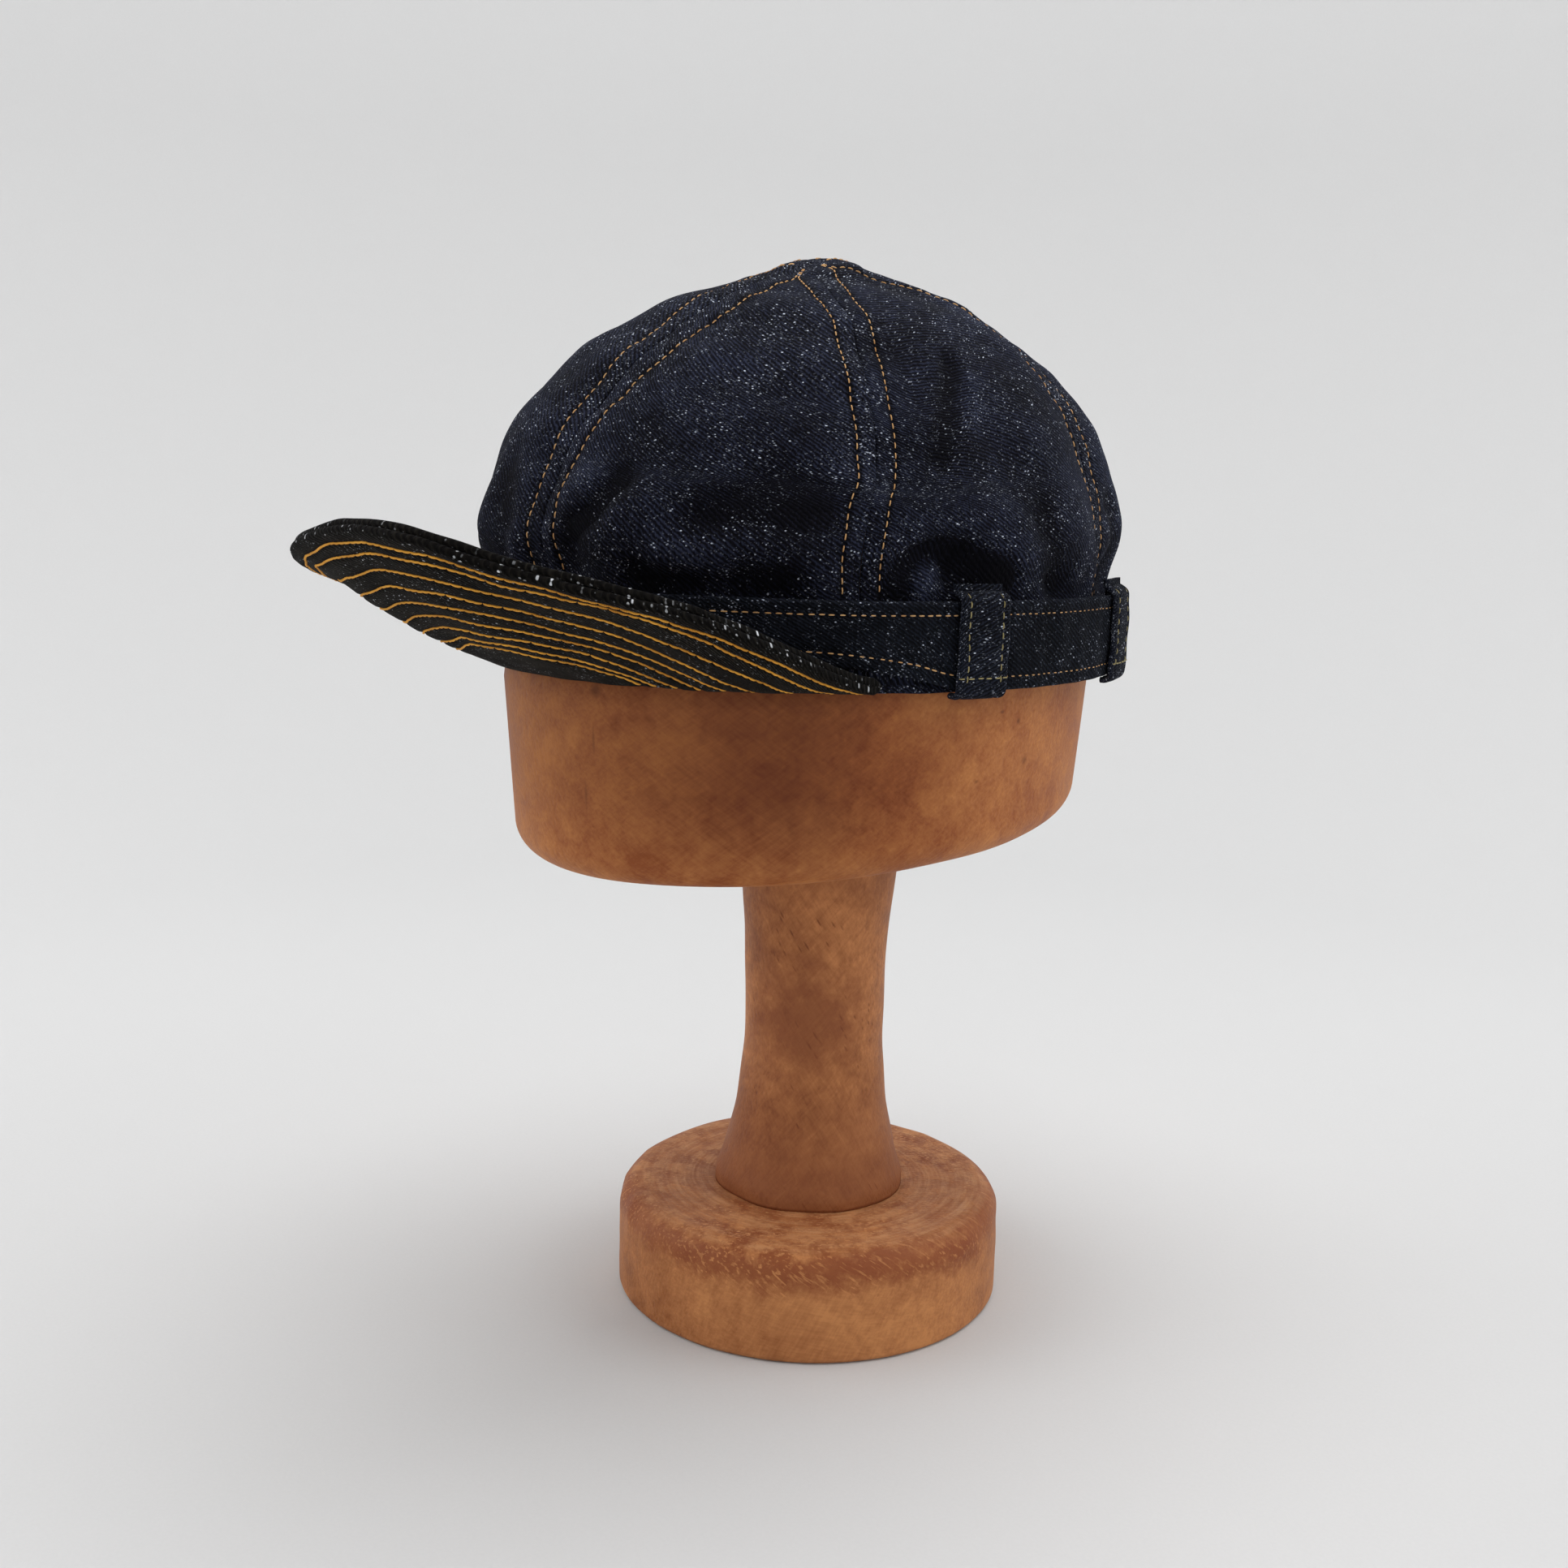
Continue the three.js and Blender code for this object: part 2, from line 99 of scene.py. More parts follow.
def sine_noise(points, size, seed, waves=14):
    """Smooth unevenness from -1 to 1 at points, with humps about as wide as size."""
    draw = np.random.default_rng(seed)
    directions = draw.normal(size=(waves, 3))
    directions /= np.linalg.norm(directions, axis=1)[:, None]
    lengths = size * 2 * draw.uniform(0.7, 1.6, waves)
    phases = draw.uniform(0, full_turn, waves)
    total = np.zeros(points.shape[:-1])
    for direction, length, phase in zip(directions, lengths, phases):
        total += np.sin(points @ direction * full_turn / length + phase)
    return total / math.sqrt(waves / 2) / 2


def add_piece(name, points, faces, material, slot, *nodes, **attributes):
    """A mesh piece that rides on the stand and takes the place of CAD nodes."""
    mesh = bpy.data.meshes.new(name)
    mesh.from_pydata(points.tolist(), [], faces)
    for label, values in attributes.items():
        layer = mesh.attributes.new(label, "FLOAT_VECTOR", "POINT")
        layer.data.foreach_set("vector", values.astype(np.float32).ravel())
    mesh.polygons.foreach_set("use_smooth", [True] * len(mesh.polygons))
    mesh.materials.append(material)
    mesh.update()
    piece = bpy.data.objects.new(name, mesh)
    bpy.context.scene.collection.objects.link(piece)
    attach(piece, "root")
    if nodes:
        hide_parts(*nodes)
    return piece


def ring_faces(rings, columns):
    """Quads between rings of points, one ring after another, closed by a fan at both ends."""
    faces = []
    for ring in range(rings - 1):
        for column in range(columns):
            low, high = ring * columns, (ring + 1) * columns
            ahead = (column + 1) % columns
            faces.append((low + column, low + ahead, high + ahead, high + column))
    bottom, top, last = rings * columns, rings * columns + 1, (rings - 1) * columns
    for column in range(columns):
        ahead = (column + 1) % columns
        faces.append((ahead, column, bottom))
        faces.append((last + column, last + ahead, top))
    return faces


def oiled_beech(name, pale, middle, dark, stroke_lean, pore_share):
    """Rubbed and oiled beech, smooth as leather: soft clouds, fine crossed strokes, few pores."""
    material, tree, shader = new_material(name)
    place = add(tree, "TexCoord", 3)
    # Oil has soaked in unevenly, so the eye sees clouds some 45 mm wide and spots of 7 mm
    cloud = add(tree, "TexNoise", Vector=place, Scale=22, Detail=2, Roughness=0.5)
    spot = add(tree, "TexNoise", Vector=place, Scale=140, Detail=5, Roughness=0.62,
               Distortion=0.5)
    # The rubbing left slanting strokes both ways, 0.5 mm wide in the real wood and 0.9 mm
    # here so that they show
    strokes = []
    for lean in (stroke_lean, stroke_lean - 1.9):
        stroke_place = add(tree, "Mapping", vector_type="TEXTURE", Vector=place,
                           Rotation=(0, lean, 0.8), Scale=(1, 1, 14))
        strokes.append(add(tree, "TexNoise", Vector=stroke_place, Scale=1100, Detail=2,
                           Roughness=0.6))
    stroke = add(tree, "Math", operation="ADD", Value=strokes[0], Value_001=strokes[1])
    blend = add(tree, "Math", operation="MULTIPLY_ADD", Value=spot, Value_001=0.42,
                Value_002=add(tree, "Math", operation="MULTIPLY", Value=cloud, Value_001=0.5))
    blend = add(tree, "Math", operation="MULTIPLY_ADD", Value=stroke, Value_001=0.18,
                Value_002=blend)
    colour = add(tree, "ValToRGB", Fac=blend,
                 stops=((0.49, dark), (0.65, middle), (0.8, pale)))
    # Open pores are dark dashes that lie with the strokes, some 0.6 mm wide and 3 mm long
    pore_place = add(tree, "Mapping", vector_type="TEXTURE", Vector=place,
                     Rotation=(0, stroke_lean, 0.8), Scale=(1, 1, 5))
    pore = add(tree, "TexVoronoi", 0, Vector=pore_place, Scale=600, Randomness=1)
    patch = add(tree, "TexNoise", Vector=place, Scale=60, Detail=2)
    pore_edge = add(tree, "MapRange", Value=pore, From_Min=0.1, From_Max=0.26,
                    To_Min=1, To_Max=0)
    pore_here = add(tree, "MapRange", Value=patch, From_Min=0.66 - pore_share,
                    From_Max=0.74 - pore_share)
    pores = add(tree, "Math", operation="MULTIPLY", Value=pore_edge, Value_001=pore_here)
    colour = add(tree, "Mix", 2, data_type="RGBA", A_Color=colour, B_Color=linear("#6a3418"),
                 Factor_Float=add(tree, "Math", operation="MULTIPLY", Value=pores,
                                  Value_001=0.7))
    shine = add(tree, "MapRange", Value=spot, From_Min=0.3, From_Max=0.7,
                To_Min=0.5, To_Max=0.62)
    relief = add(tree, "Math", operation="MULTIPLY_ADD", Value=spot, Value_001=1.6,
                 Value_002=add(tree, "Math", operation="SUBTRACT", Value=stroke,
                               Value_001=pores))
    bump = add(tree, "Bump", Height=relief, Strength=0.3, Distance=0.0005)
    feed(tree, shader, Roughness=shine, Normal=bump, IOR=1.48, Specular_IOR_Level=0.22)
    return material, tree, shader, place, colour


def round_corner(radius, level, size, start, steps=8):
    """Places (radius, height) along a quarter round from the turn called start."""
    turns = start + np.linspace(0, 1, steps + 1) * math.pi / 2
    return [(radius + size * math.cos(t), level + size * math.sin(t)) for t in turns]


def turned(profile, columns):
    """Rings of points round the upright axis, and a middle point at each end."""
    turns = np.arange(columns) / columns * full_turn
    rings = [np.stack([r * np.cos(turns), r * np.sin(turns), np.full(columns, z)], 1)
             for r, z in profile]
    middles = [[0, 0, profile[0][1]], [0, 0, profile[-1][1]]]
    return np.concatenate(rings + [np.array(middles)])


foot_inside = np.linspace(0.03, 0.95, 6) * (base_radius - base_foot_round)
top_inside = np.linspace(0.98, 0.05, 112) * (base_radius - base_top_round)
base_profile = [(r, 0.0) for r in foot_inside]
base_profile += round_corner(base_radius - base_foot_round, base_foot_round,
                             base_foot_round, -math.pi / 2)
base_profile += [(base_radius, z) for z in
                 np.linspace(base_foot_round, base_height - base_top_round, 26)[1:-1]]
base_profile += round_corner(base_radius - base_top_round, base_height - base_top_round,
                             base_top_round, 0)
base_profile += [(r, base_height - base_ring_depth * (math.sin(r / base_ring_pitch * full_turn)
                                                      ** 8)) for r in top_inside]
base_points = turned(base_profile, base_columns)
outward = base_points * [1, 1, 0] / base_radius
wear = sine_noise(base_points, base_wear_size, 3) * base_wear_depth
near_edge = np.clip((base_points[:, 2] - 0.55 * base_height) / (0.3 * base_height), 0, 1)
base_points -= outward * (np.abs(wear) * (0.3 + near_edge))[:, None]
base_wood, tree, shader, place, colour = oiled_beech(
    "oiled turned beech, base", "#ca8954", "#af7144", "#8d532b", 0.5, -0.02)

# The tool left rings on the flat top, some 2 mm apart, rubbed through in places
height = add(tree, "SeparateXYZ", 2, Vector=place)
across = add(tree, "VectorMath", 0, operation="MULTIPLY", Vector=place,
             Vector_001=(0.1, 0.1, 0))
middle_off = add(tree, "VectorMath", 0, operation="MULTIPLY", Vector=place,
                 Vector_001=(1, 1, 0))
middle_off = add(tree, "VectorMath", 1, operation="LENGTH", Vector=middle_off)
ring_place = add(tree, "VectorMath", 0, operation="ADD", Vector=across,
                 Vector_001=add(tree, "CombineXYZ", Z=middle_off))
rings = add(tree, "TexNoise", Vector=ring_place, Scale=480, Detail=4, Roughness=0.65)
on_top = add(tree, "MapRange", Value=height, From_Min=0.0335, From_Max=0.035)
ring_shade = add(tree, "MapRange", Value=rings, From_Min=0.38, From_Max=0.62,
                 To_Min=0.1, To_Max=0.6)
colour = add(tree, "Mix", 2, data_type="RGBA", A_Color=colour, B_Color=linear("#cf9c6f"),
             Factor_Float=add(tree, "Math", operation="MULTIPLY", Value=on_top,
                              Value_001=ring_shade))
# Just under the edge the rub has left a ragged reddish band, with pale slanting scratches
ragged = add(tree, "TexNoise", Vector=place, Scale=110, Detail=6, Roughness=0.72)
wobble = add(tree, "MapRange", Value=ragged, To_Min=-0.013, To_Max=0.013)
level = add(tree, "Math", operation="ADD", Value=height, Value_001=wobble)
band_top = add(tree, "MapRange", Value=level, From_Min=0.0375, From_Max=0.0325)
band_low = add(tree, "MapRange", Value=level, From_Min=0.0215, From_Max=0.0285)
band = add(tree, "Math", operation="MULTIPLY", Value=band_top, Value_001=band_low)
scratch_place = add(tree, "Mapping", vector_type="TEXTURE", Vector=place,
                    Rotation=(0, -0.95, 0.8), Scale=(1, 1, 9))
scratch = add(tree, "TexNoise", Vector=scratch_place, Scale=1100, Detail=2)
bare = add(tree, "MapRange", Value=scratch, From_Min=0.64, From_Max=0.56)
band = add(tree, "Math", operation="MULTIPLY", Value=band, Value_001=bare)
broad = add(tree, "TexNoise", Vector=place, Scale=26, Detail=2)
worn_here = add(tree, "MapRange", Value=broad, From_Min=0.3, From_Max=0.6, To_Min=0.45,
                To_Max=0.85)
colour = add(tree, "Mix", 2, data_type="RGBA", A_Color=colour, B_Color=linear("#854426"),
             Factor_Float=add(tree, "Math", operation="MULTIPLY", Value=band,
                              Value_001=worn_here))
feed(tree, shader, Base_Color=colour)
add_piece("base_turned", base_points, ring_faces(len(base_profile), base_columns),
          base_wood, "stand_wood", "stand_base")

# The post is turned from one length of beech, thick at the foot, waisted in the
# middle and flared under the block. It is glued into the base, and its top is cut
# on the slant to meet the underside of the block.
post_length = 122.8 * millimetre
post_waist = 22.8 * millimetre
post_heights = [0, 0.03, 0.08, 0.15, 0.23, 0.36, 0.47, 0.58, 0.7, 0.82, 1]
post_shares = [1.375, 1.36, 1.265, 1.17, 1.09, 1.018, 1, 1.012, 1.045, 1.1, 1.2]
post_columns = 160
post_rows = 130
tool_mark_size = 12 * millimetre
tool_mark_depth = 0.4 * millimetre
block_length = 204 * millimetre
block_width = 160.8 * millimetre
block_depth = 53.3 * millimetre
block_forward = 5.7 * millimetre
block_to_right = 2 * millimetre
nose_slope = 0.055
post_foot = base_height + piece_gap
block_underside = post_foot + post_length + piece_gap
block_level = block_underside + block_depth - nose_slope * block_forward
block_x, block_y = -block_to_right, -block_forward


def read_curve(keys, values, places):
    """Reads a table between its rows, along a smooth curve."""
    keys, values, places = (np.asarray(given, float) for given in (keys, values, places))
    slopes = np.array([(values[min(i + 1, len(keys) - 1)] - values[max(i - 1, 0)])
                       / (keys[min(i + 1, len(keys) - 1)] - keys[max(i - 1, 0)])
                       for i in range(len(keys))])
    row = np.clip(np.searchsorted(keys, places, side="left") - 1, 0, len(keys) - 2)
    span = keys[row + 1] - keys[row]
    t = np.clip((places - keys[row]) / span, 0, 1)
    bend = t * (1 - t) * ((1 - t) * slopes[row] - t * slopes[row + 1]) * span
    return ((1 + 2 * t) * (1 - t) ** 2 * values[row] + t * t * (3 - 2 * t) * values[row + 1]
            + bend)


levels = np.linspace(0, 1, post_rows)
radii = post_waist * read_curve(post_heights, post_shares, levels)
post_profile = [(r, post_foot - piece_gap + z * (post_length + piece_gap))
                for r, z in zip(radii, levels)]
post_points = turned(post_profile, post_columns)
slant = block_level - block_depth + nose_slope * (post_points[:, 1] - block_y)
share = (post_points[:, 2] - post_foot) / post_length
post_points[:, 2] += np.where(share > 0.9, (share - 0.9) / 0.1, 0) * (
    slant - block_underside + piece_gap)
tool_marks = sine_noise(post_points, tool_mark_size, 5) * tool_mark_depth
post_points[:, :2] *= (1 + tool_marks / post_waist)[:, None]
post_wood, tree, shader, place, colour = oiled_beech(
    "oiled turned beech, post", "#c98754", "#ab6e42", "#854e2b", -0.55, 0.16)

# Hands have darkened a blotch at the waist and the glue line at the foot
blotch_middle = (0.0132, -0.019, 0.096)
away = add(tree, "VectorMath", 1, operation="DISTANCE", Vector=place,
           Vector_001=blotch_middle)
ragged = add(tree, "TexNoise", Vector=place, Scale=110, Detail=6, Roughness=0.7)
away = add(tree, "Math", operation="MULTIPLY_ADD", Value=ragged, Value_001=0.05,
           Value_002=away)
blotch = add(tree, "MapRange", Value=away, From_Min=0.052, From_Max=0.034, To_Max=0.7)
height = add(tree, "SeparateXYZ", 2, Vector=place)
foot = add(tree, "MapRange", Value=height, From_Min=0.0385, From_Max=0.0357, To_Max=0.8)
dirt = add(tree, "Math", operation="MAXIMUM", Value=blotch, Value_001=foot)
low_down = add(tree, "MapRange", Value=height, From_Min=0.08, From_Max=0.045, To_Max=0.6)
dirt = add(tree, "Math", operation="MAXIMUM", Value=dirt, Value_001=low_down)
colour = add(tree, "Mix", 2, data_type="RGBA", A_Color=colour, B_Color=linear("#7d4428"),
             Factor_Float=dirt)
feed(tree, shader, Base_Color=colour)
add_piece("post_turned", post_points, ring_faces(post_rows, post_columns),
          post_wood, "stand_wood", "stand_post")

# The block is an oval of solid beech, sawn and sanded, with a slightly tapered side
# and a rounded lower edge. Under the cap it goes on as a plain dome that isn't seen.
block_taper = 0.075
block_edge_round = 10.6 * millimetre
block_wave_size = 24 * millimetre
block_wave_share = 0.002
block_columns = 320
dome_levels = [0, 0.12, 0.26, 0.44, 0.62, 0.78, 0.9, 0.97, 1]
dome_sizes = [1, 0.985, 0.95, 0.885, 0.79, 0.65, 0.47, 0.27, 0.1]
crown_height = 121.8 * millimetre
rim_below_level = 1.3 * millimetre
cloth_thickness = 1.6 * millimetre
dome_gap = 12 * millimetre
dome_height = crown_height - rim_below_level - cloth_thickness - dome_gap

straight = block_depth - block_edge_round
block_rings = [(s, block_taper * straight + block_edge_round, -block_depth)
               for s in np.linspace(0.03, 0.97, 24)]
for turn in np.linspace(0, math.pi / 2, 14):
    block_rings.append((1, block_taper * straight + block_edge_round * (1 - math.sin(turn)),
                        -block_depth + block_edge_round * (1 - math.cos(turn))))
for z in np.linspace(-straight, 0, 40)[1:]:
    block_rings.append((1, -block_taper * z, z))
for z in np.linspace(0.02, 1, 18):
    block_rings.append((float(read_curve(dome_levels, dome_sizes, z)), 0, z * dome_height))
turns = np.arange(block_columns) / block_columns * full_turn
rings = [np.stack([(block_width / 2 - inset) * size * np.cos(turns),
                   (block_length / 2 - inset) * size * np.sin(turns),
                   np.full(block_columns, z)], 1) for size, inset, z in block_rings]
block_points = np.concatenate(rings + [np.array([[0, 0, -block_depth], [0, 0, dome_height]])])
block_waves = sine_noise(block_points, block_wave_size, 8) * block_wave_share
block_points *= 1 + block_waves[:, None]
block_points += [block_x, block_y, block_level]
block_points[:, 2] += nose_slope * (block_points[:, 1] - block_y)
block_wood, tree, shader, place, colour = oiled_beech(
    "oiled sanded beech, block", "#cd8a4f", "#b47240", "#955127", 0.95, -0.06)

# Painted light and shade over a real oil stain: the block is drawn darkest at the wearer's left
# front, where oil has soaked in and the visor's shade falls, palest at the wearer's left side,
# where the right-hand lamp lights it, and paler at the wearer's right front and along the lower
# edge
height = add(tree, "SeparateXYZ", 2, Vector=place)
sideways = add(tree, "VectorMath", 1, operation="DOT_PRODUCT", Vector=place,
               Vector_001=(0.7, 0.714, 0))
ragged = add(tree, "TexNoise", Vector=place, Scale=38, Detail=5, Roughness=0.6)
sideways = add(tree, "Math", operation="MULTIPLY_ADD", Value=ragged, Value_001=0.045,
               Value_002=sideways)
span = add(tree, "MapRange", Value=sideways, From_Min=-0.0775, From_Max=0.1225)
oil_stain_and_painted_light = add(tree, "ValToRGB", Fac=span, stops=(
    (0.0, "#d2c8c0"), (0.2, "#cdc0b8"), (0.34, "#b4a196"), (0.48, "#a68f81"), (0.6, "#d0bfb2"),
    (0.76, "#ffffff")))
# The painted shade under the cap is full near the top and about a quarter as strong at the lower
# edge
colour = add(tree, "Mix", 2, data_type="RGBA", blend_type="MULTIPLY", A_Color=colour,
             B_Color=oil_stain_and_painted_light, Factor_Float=add(tree, "MapRange", Value=height, From_Min=0.156,
                                            From_Max=0.182, To_Min=0.25, To_Max=1))
# Place, half width in millimetres, how much taller than wide and darkness of each mark
block_marks = [
    ((0.0156, -0.1052, 0.2095), 2.4, 1, 0.7), ((0.0146, -0.1047, 0.1954), 0.6, 11, 0.45),
    ((0.011, -0.1043, 0.18), 0.6, 11, 0.4), ((0.0777, -0.0058, 0.2029), 1.2, 0.6, 0.6),
    ((0.0772, 0.0026, 0.1995), 1.2, 1, 0.6), ((0.0757, 0.0081, 0.1871), 1.8, 0.9, 0.5),
    ((0.076, -0.0138, 0.1831), 1.1, 0.6, 0.5)]
for mark_place, mark_width, taller, darkness in block_marks:
    size = mark_width * millimetre
    mark = add(tree, "Mapping", vector_type="TEXTURE", Vector=place, Location=mark_place,
               Scale=(size, size, size * taller))
    mark = add(tree, "VectorMath", 1, operation="LENGTH", Vector=mark)
    mark = add(tree, "MapRange", Value=mark, From_Min=1, From_Max=0.3, To_Max=darkness)
    colour = add(tree, "Mix", 2, data_type="RGBA", A_Color=colour, B_Color=linear("#5d2f17"),
                 Factor_Float=mark)
feed(tree, shader, Base_Color=colour)
add_piece("block_sanded", block_points, ring_faces(len(block_rings), block_columns),
          block_wood, "stand_wood", "stand_block")

# The crown is six tapered panels of raw indigo denim, sewn edge to edge. The seam
# allowances are pressed open and held by a row of stitches on each side, and the
# foot is drawn in a little where it is sewn to the rim, so the cloth puckers there.
back_slack = 6 * millimetre
side_slack = 2.6 * millimetre
cap_half_length = block_length / 2 + piece_gap + back_slack / 2 + cloth_thickness
cap_half_width = block_width / 2 + piece_gap + side_slack + cloth_thickness
cap_place = np.array([block_x + millimetre, block_y + back_slack / 2,
                      block_level - rim_below_level])
cap_tilt = math.radians(-1)
seam_degrees = 60.8
seams = np.radians([0, seam_degrees, 180 - seam_degrees, 180, 180 + seam_degrees,
                    360 - seam_degrees, 360])
panel_puff = 0.063
panel_fullness = 0.8
dent_depth = 5 * millimetre
crown_heights = [0, 0.1, 0.2, 0.3, 0.38, 0.47, 0.6, 0.75, 0.87, 0.95, 0.985, 1]
crown_sizes = [1, 0.97, 0.962, 0.982, 0.968, 0.935, 0.865, 0.709, 0.491, 0.246, 0.11, 0.004]
crown_puffs = [0, 0.3, 0.66, 0.86, 0.95, 1, 1.05, 1, 0.8, 0.45, 0.1, 0]
crown_forward = [0, 0.01, 0.021, 0.029, 0.025, 0.016, 0.007, -0.002, -0.009, -0.012, -0.013,
                 -0.014]
crown_to_left = [0, -0.003, -0.006, -0.009, -0.011, -0.013, -0.016, -0.02, -0.025, -0.028,
                 -0.029, -0.029]
# Angle round the cap, height, spread in degrees, reach and depth of each soft dent
crown_dents = [
    (8, 0.25, 9, 0.07, 0.9), (43, 0.22, 10, 0.06, 0.6), (74, 0.29, 7, 0.06, 1),
    (84, 0.62, 6, 0.13, 0.7), (97, 0.24, 9, 0.05, 0.6), (131, 0.25, 9, 0.07, 0.8),
    (166, 0.27, 10, 0.06, 0.7), (-20, 0.24, 10, 0.06, 0.7), (-50, 0.28, 8, 0.07, 0.8),
    (-84, 0.25, 9, 0.06, 0.9), (-100, 0.6, 8, 0.12, 0.6), (-135, 0.26, 10, 0.06, 0.7)]
# Width and depth in millimetres of each fold, then its angles and heights. A depth
# below zero is a ridge
fold_radius = 95 * millimetre
crown_folds = [
    (3.4, 3.0, (66.3, 0.225), (67.8, 0.28), (69.8, 0.303), (72.8, 0.318), (77.3, 0.312),
     (81.8, 0.287), (86.3, 0.25)),
    (4.5, 2.2, (76, 0.268), (83, 0.25)), (4.5, -1.6, (69.5, 0.245), (73, 0.27)),
    (5.5, 2.8, (18.7, 0.444), (14, 0.37), (8.6, 0.33)), (5, -1.2, (12, 0.45), (6, 0.4)),
    (4, 1.9, (80.5, 0.73), (77.8, 0.674), (75.3, 0.594), (73.3, 0.53)),
    (4, -1, (84.5, 0.7), (81, 0.6)), (7, 2.2, (34, 0.37), (41, 0.4), (52, 0.41)),
    (4.5, 2.4, (24, 0.235), (36, 0.225), (47, 0.235)), (6, -1.2, (29, 0.29), (36, 0.3)),
    (5, 1.8, (93, 0.4), (97, 0.3), (99, 0.24)), (6, 1.6, (-16, 0.45), (-11, 0.34)),
    (5, 2.2, (128, 0.42), (134, 0.3), (133, 0.24)), (5, 2, (158, 0.25), (170, 0.29), (181, 0.25)),
    (6, 1.8, (196, 0.44), (203, 0.32)), (5, 2.4, (226, 0.24), (234, 0.3), (243, 0.24)),
    (5, 2, (266, 0.5), (270, 0.36), (268, 0.26)), (5, 2.3, (287, 0.25), (296, 0.3), (305, 0.25)),
    (6, 1.8, (322, 0.42), (330, 0.31)), (6, 1.4, (140, 0.66), (150, 0.56)),
    (6, 1.5, (212, 0.68), (221, 0.58)), (6, 1.3, (306, 0.64), (314, 0.55)),
    (16, -2.2, (-47, 0.56), (-44, 0.74)),
    (14, -1.7, (-46, 0.36), (-46, 0.48)), (14, -1.3, (134, 0.38), (134, 0.5)),
    (14, -1.5, (134, 0.62), (134, 0.72)), (13, -1.2, (112, 0.88), (134, 0.86))]
tip_x, tip_y = 3 * millimetre, -8 * millimetre
tip_radius = 13 * millimetre
tip_rise = 1.3 * millimetre
stitch_inset = 5.5 * millimetre
seam_zone = 9 * millimetre
seam_flat = 10 * millimetre
groove_depth = 0.35 * millimetre
groove_width = 0.6 * millimetre
allowance_rise = 0.5 * millimetre
join_depth = 0.4 * millimetre
pucker_size = 4.5 * millimetre
pucker_height = 0.34 * millimetre
crease_size = 16 * millimetre
crease_height = 0.9 * millimetre
crumple_size = 6.5 * millimetre
crumple_height = 0.24 * millimetre
gather_height = 0.6 * millimetre
panel_columns = 96
panel_rows = 150
zone_columns = 0.36
normal_step = 0.0015

# The seams meet to the wearer's left of the middle and in front of it. How far each part
# of the crown is drawn that way, by its size as a share of the rim's oval. The far side
# has shares of its own, below zero where the cloth lies the other way
seam_drift = np.array([14, -14]) * millimetre
drift_sizes = [0, 0.15, 0.3, 0.49, 0.6, 0.65, 0.735, 0.8, 0.85, 0.9, 0.935, 0.96]
drift_shares = [0.72, 0.74, 0.86, 0.98, 0.92, 0.86, 0.63, 0.47, 0.34, 0.19, 0.06, 0]
drift_facing = math.radians(42)
far_sizes = [0, 0.1, 0.2, 0.3, 0.45, 0.6, 0.75, 0.9]
far_shares = [0.72, 0.35, -0.05, -0.35, -0.55, -0.5, -0.25, 0]
# The tip itself lies further to the wearer's right, and the seam at the left front bends
# out and in again on its way down
to_side = np.array([0.7, 0.714])
aside_sizes = [0, 0.15, 0.3, 0.4]
tip_aside = [-5.4 * millimetre, -5 * millimetre, -2.5 * millimetre, 0]
bend_places = [0, 0.09, 0.28, 0.46, 0.6, 0.75, 0.88, 1]
bend_reach = np.array([-2.6, -2.4, 0, 3, 2.7, 1, 0, 0]) * millimetre
bend_spread = math.radians(30)

# The line of the crown from the rim to the tip, stepped off by its length. Above its
# widest height each size is met only once
widest_height = 0.32
corners = np.stack([np.array(crown_sizes) * cap_half_length,
                    np.array(crown_heights) * crown_height], 1)
ends = np.concatenate([corners[:1], corners, corners[-1:]])
line = []
for a, b, c, d in zip(ends, ends[1:], ends[2:], ends[3:]):
    for t in np.linspace(0, 1, 40, endpoint=False):
        line.append(0.5 * (2 * b + (c - a) * t + (2 * a - 5 * b + 4 * c - d) * t ** 2
                           + (3 * b - a - 3 * c + d) * t ** 3))
line = np.array(line + [corners[-1]])
line_length = np.concatenate([[0], np.cumsum(np.linalg.norm(np.diff(line, axis=0), axis=1))])
upper = line[:, 1] > widest_height * crown_height


def into_place(points):
    """Points of the cap's own frame, set on the block."""
    c, s = math.cos(cap_tilt), math.sin(cap_tilt)
    x, y, z = points[..., 0], points[..., 1], points[..., 2]
    return np.stack([x, y * c - z * s, y * s + z * c], -1) + cap_place


def oval(angle, size=1.0):
    """Points on the oval of the rim."""
    return np.stack([cap_half_width * size * np.sin(angle),
                     -cap_half_length * size * np.cos(angle), 0 * angle], -1)


def oval_outward(angle):
    """Directions square to the rim's oval."""
    way = np.stack([cap_half_length * np.sin(angle), -cap_half_width * np.cos(angle),
                    0 * angle], -1)
    return way / np.linalg.norm(way, axis=-1)[..., None]


def oval_speed(angle):
    """Length of rim for each radian."""
    return np.hypot(cap_half_width * np.cos(angle), cap_half_length * np.sin(angle))


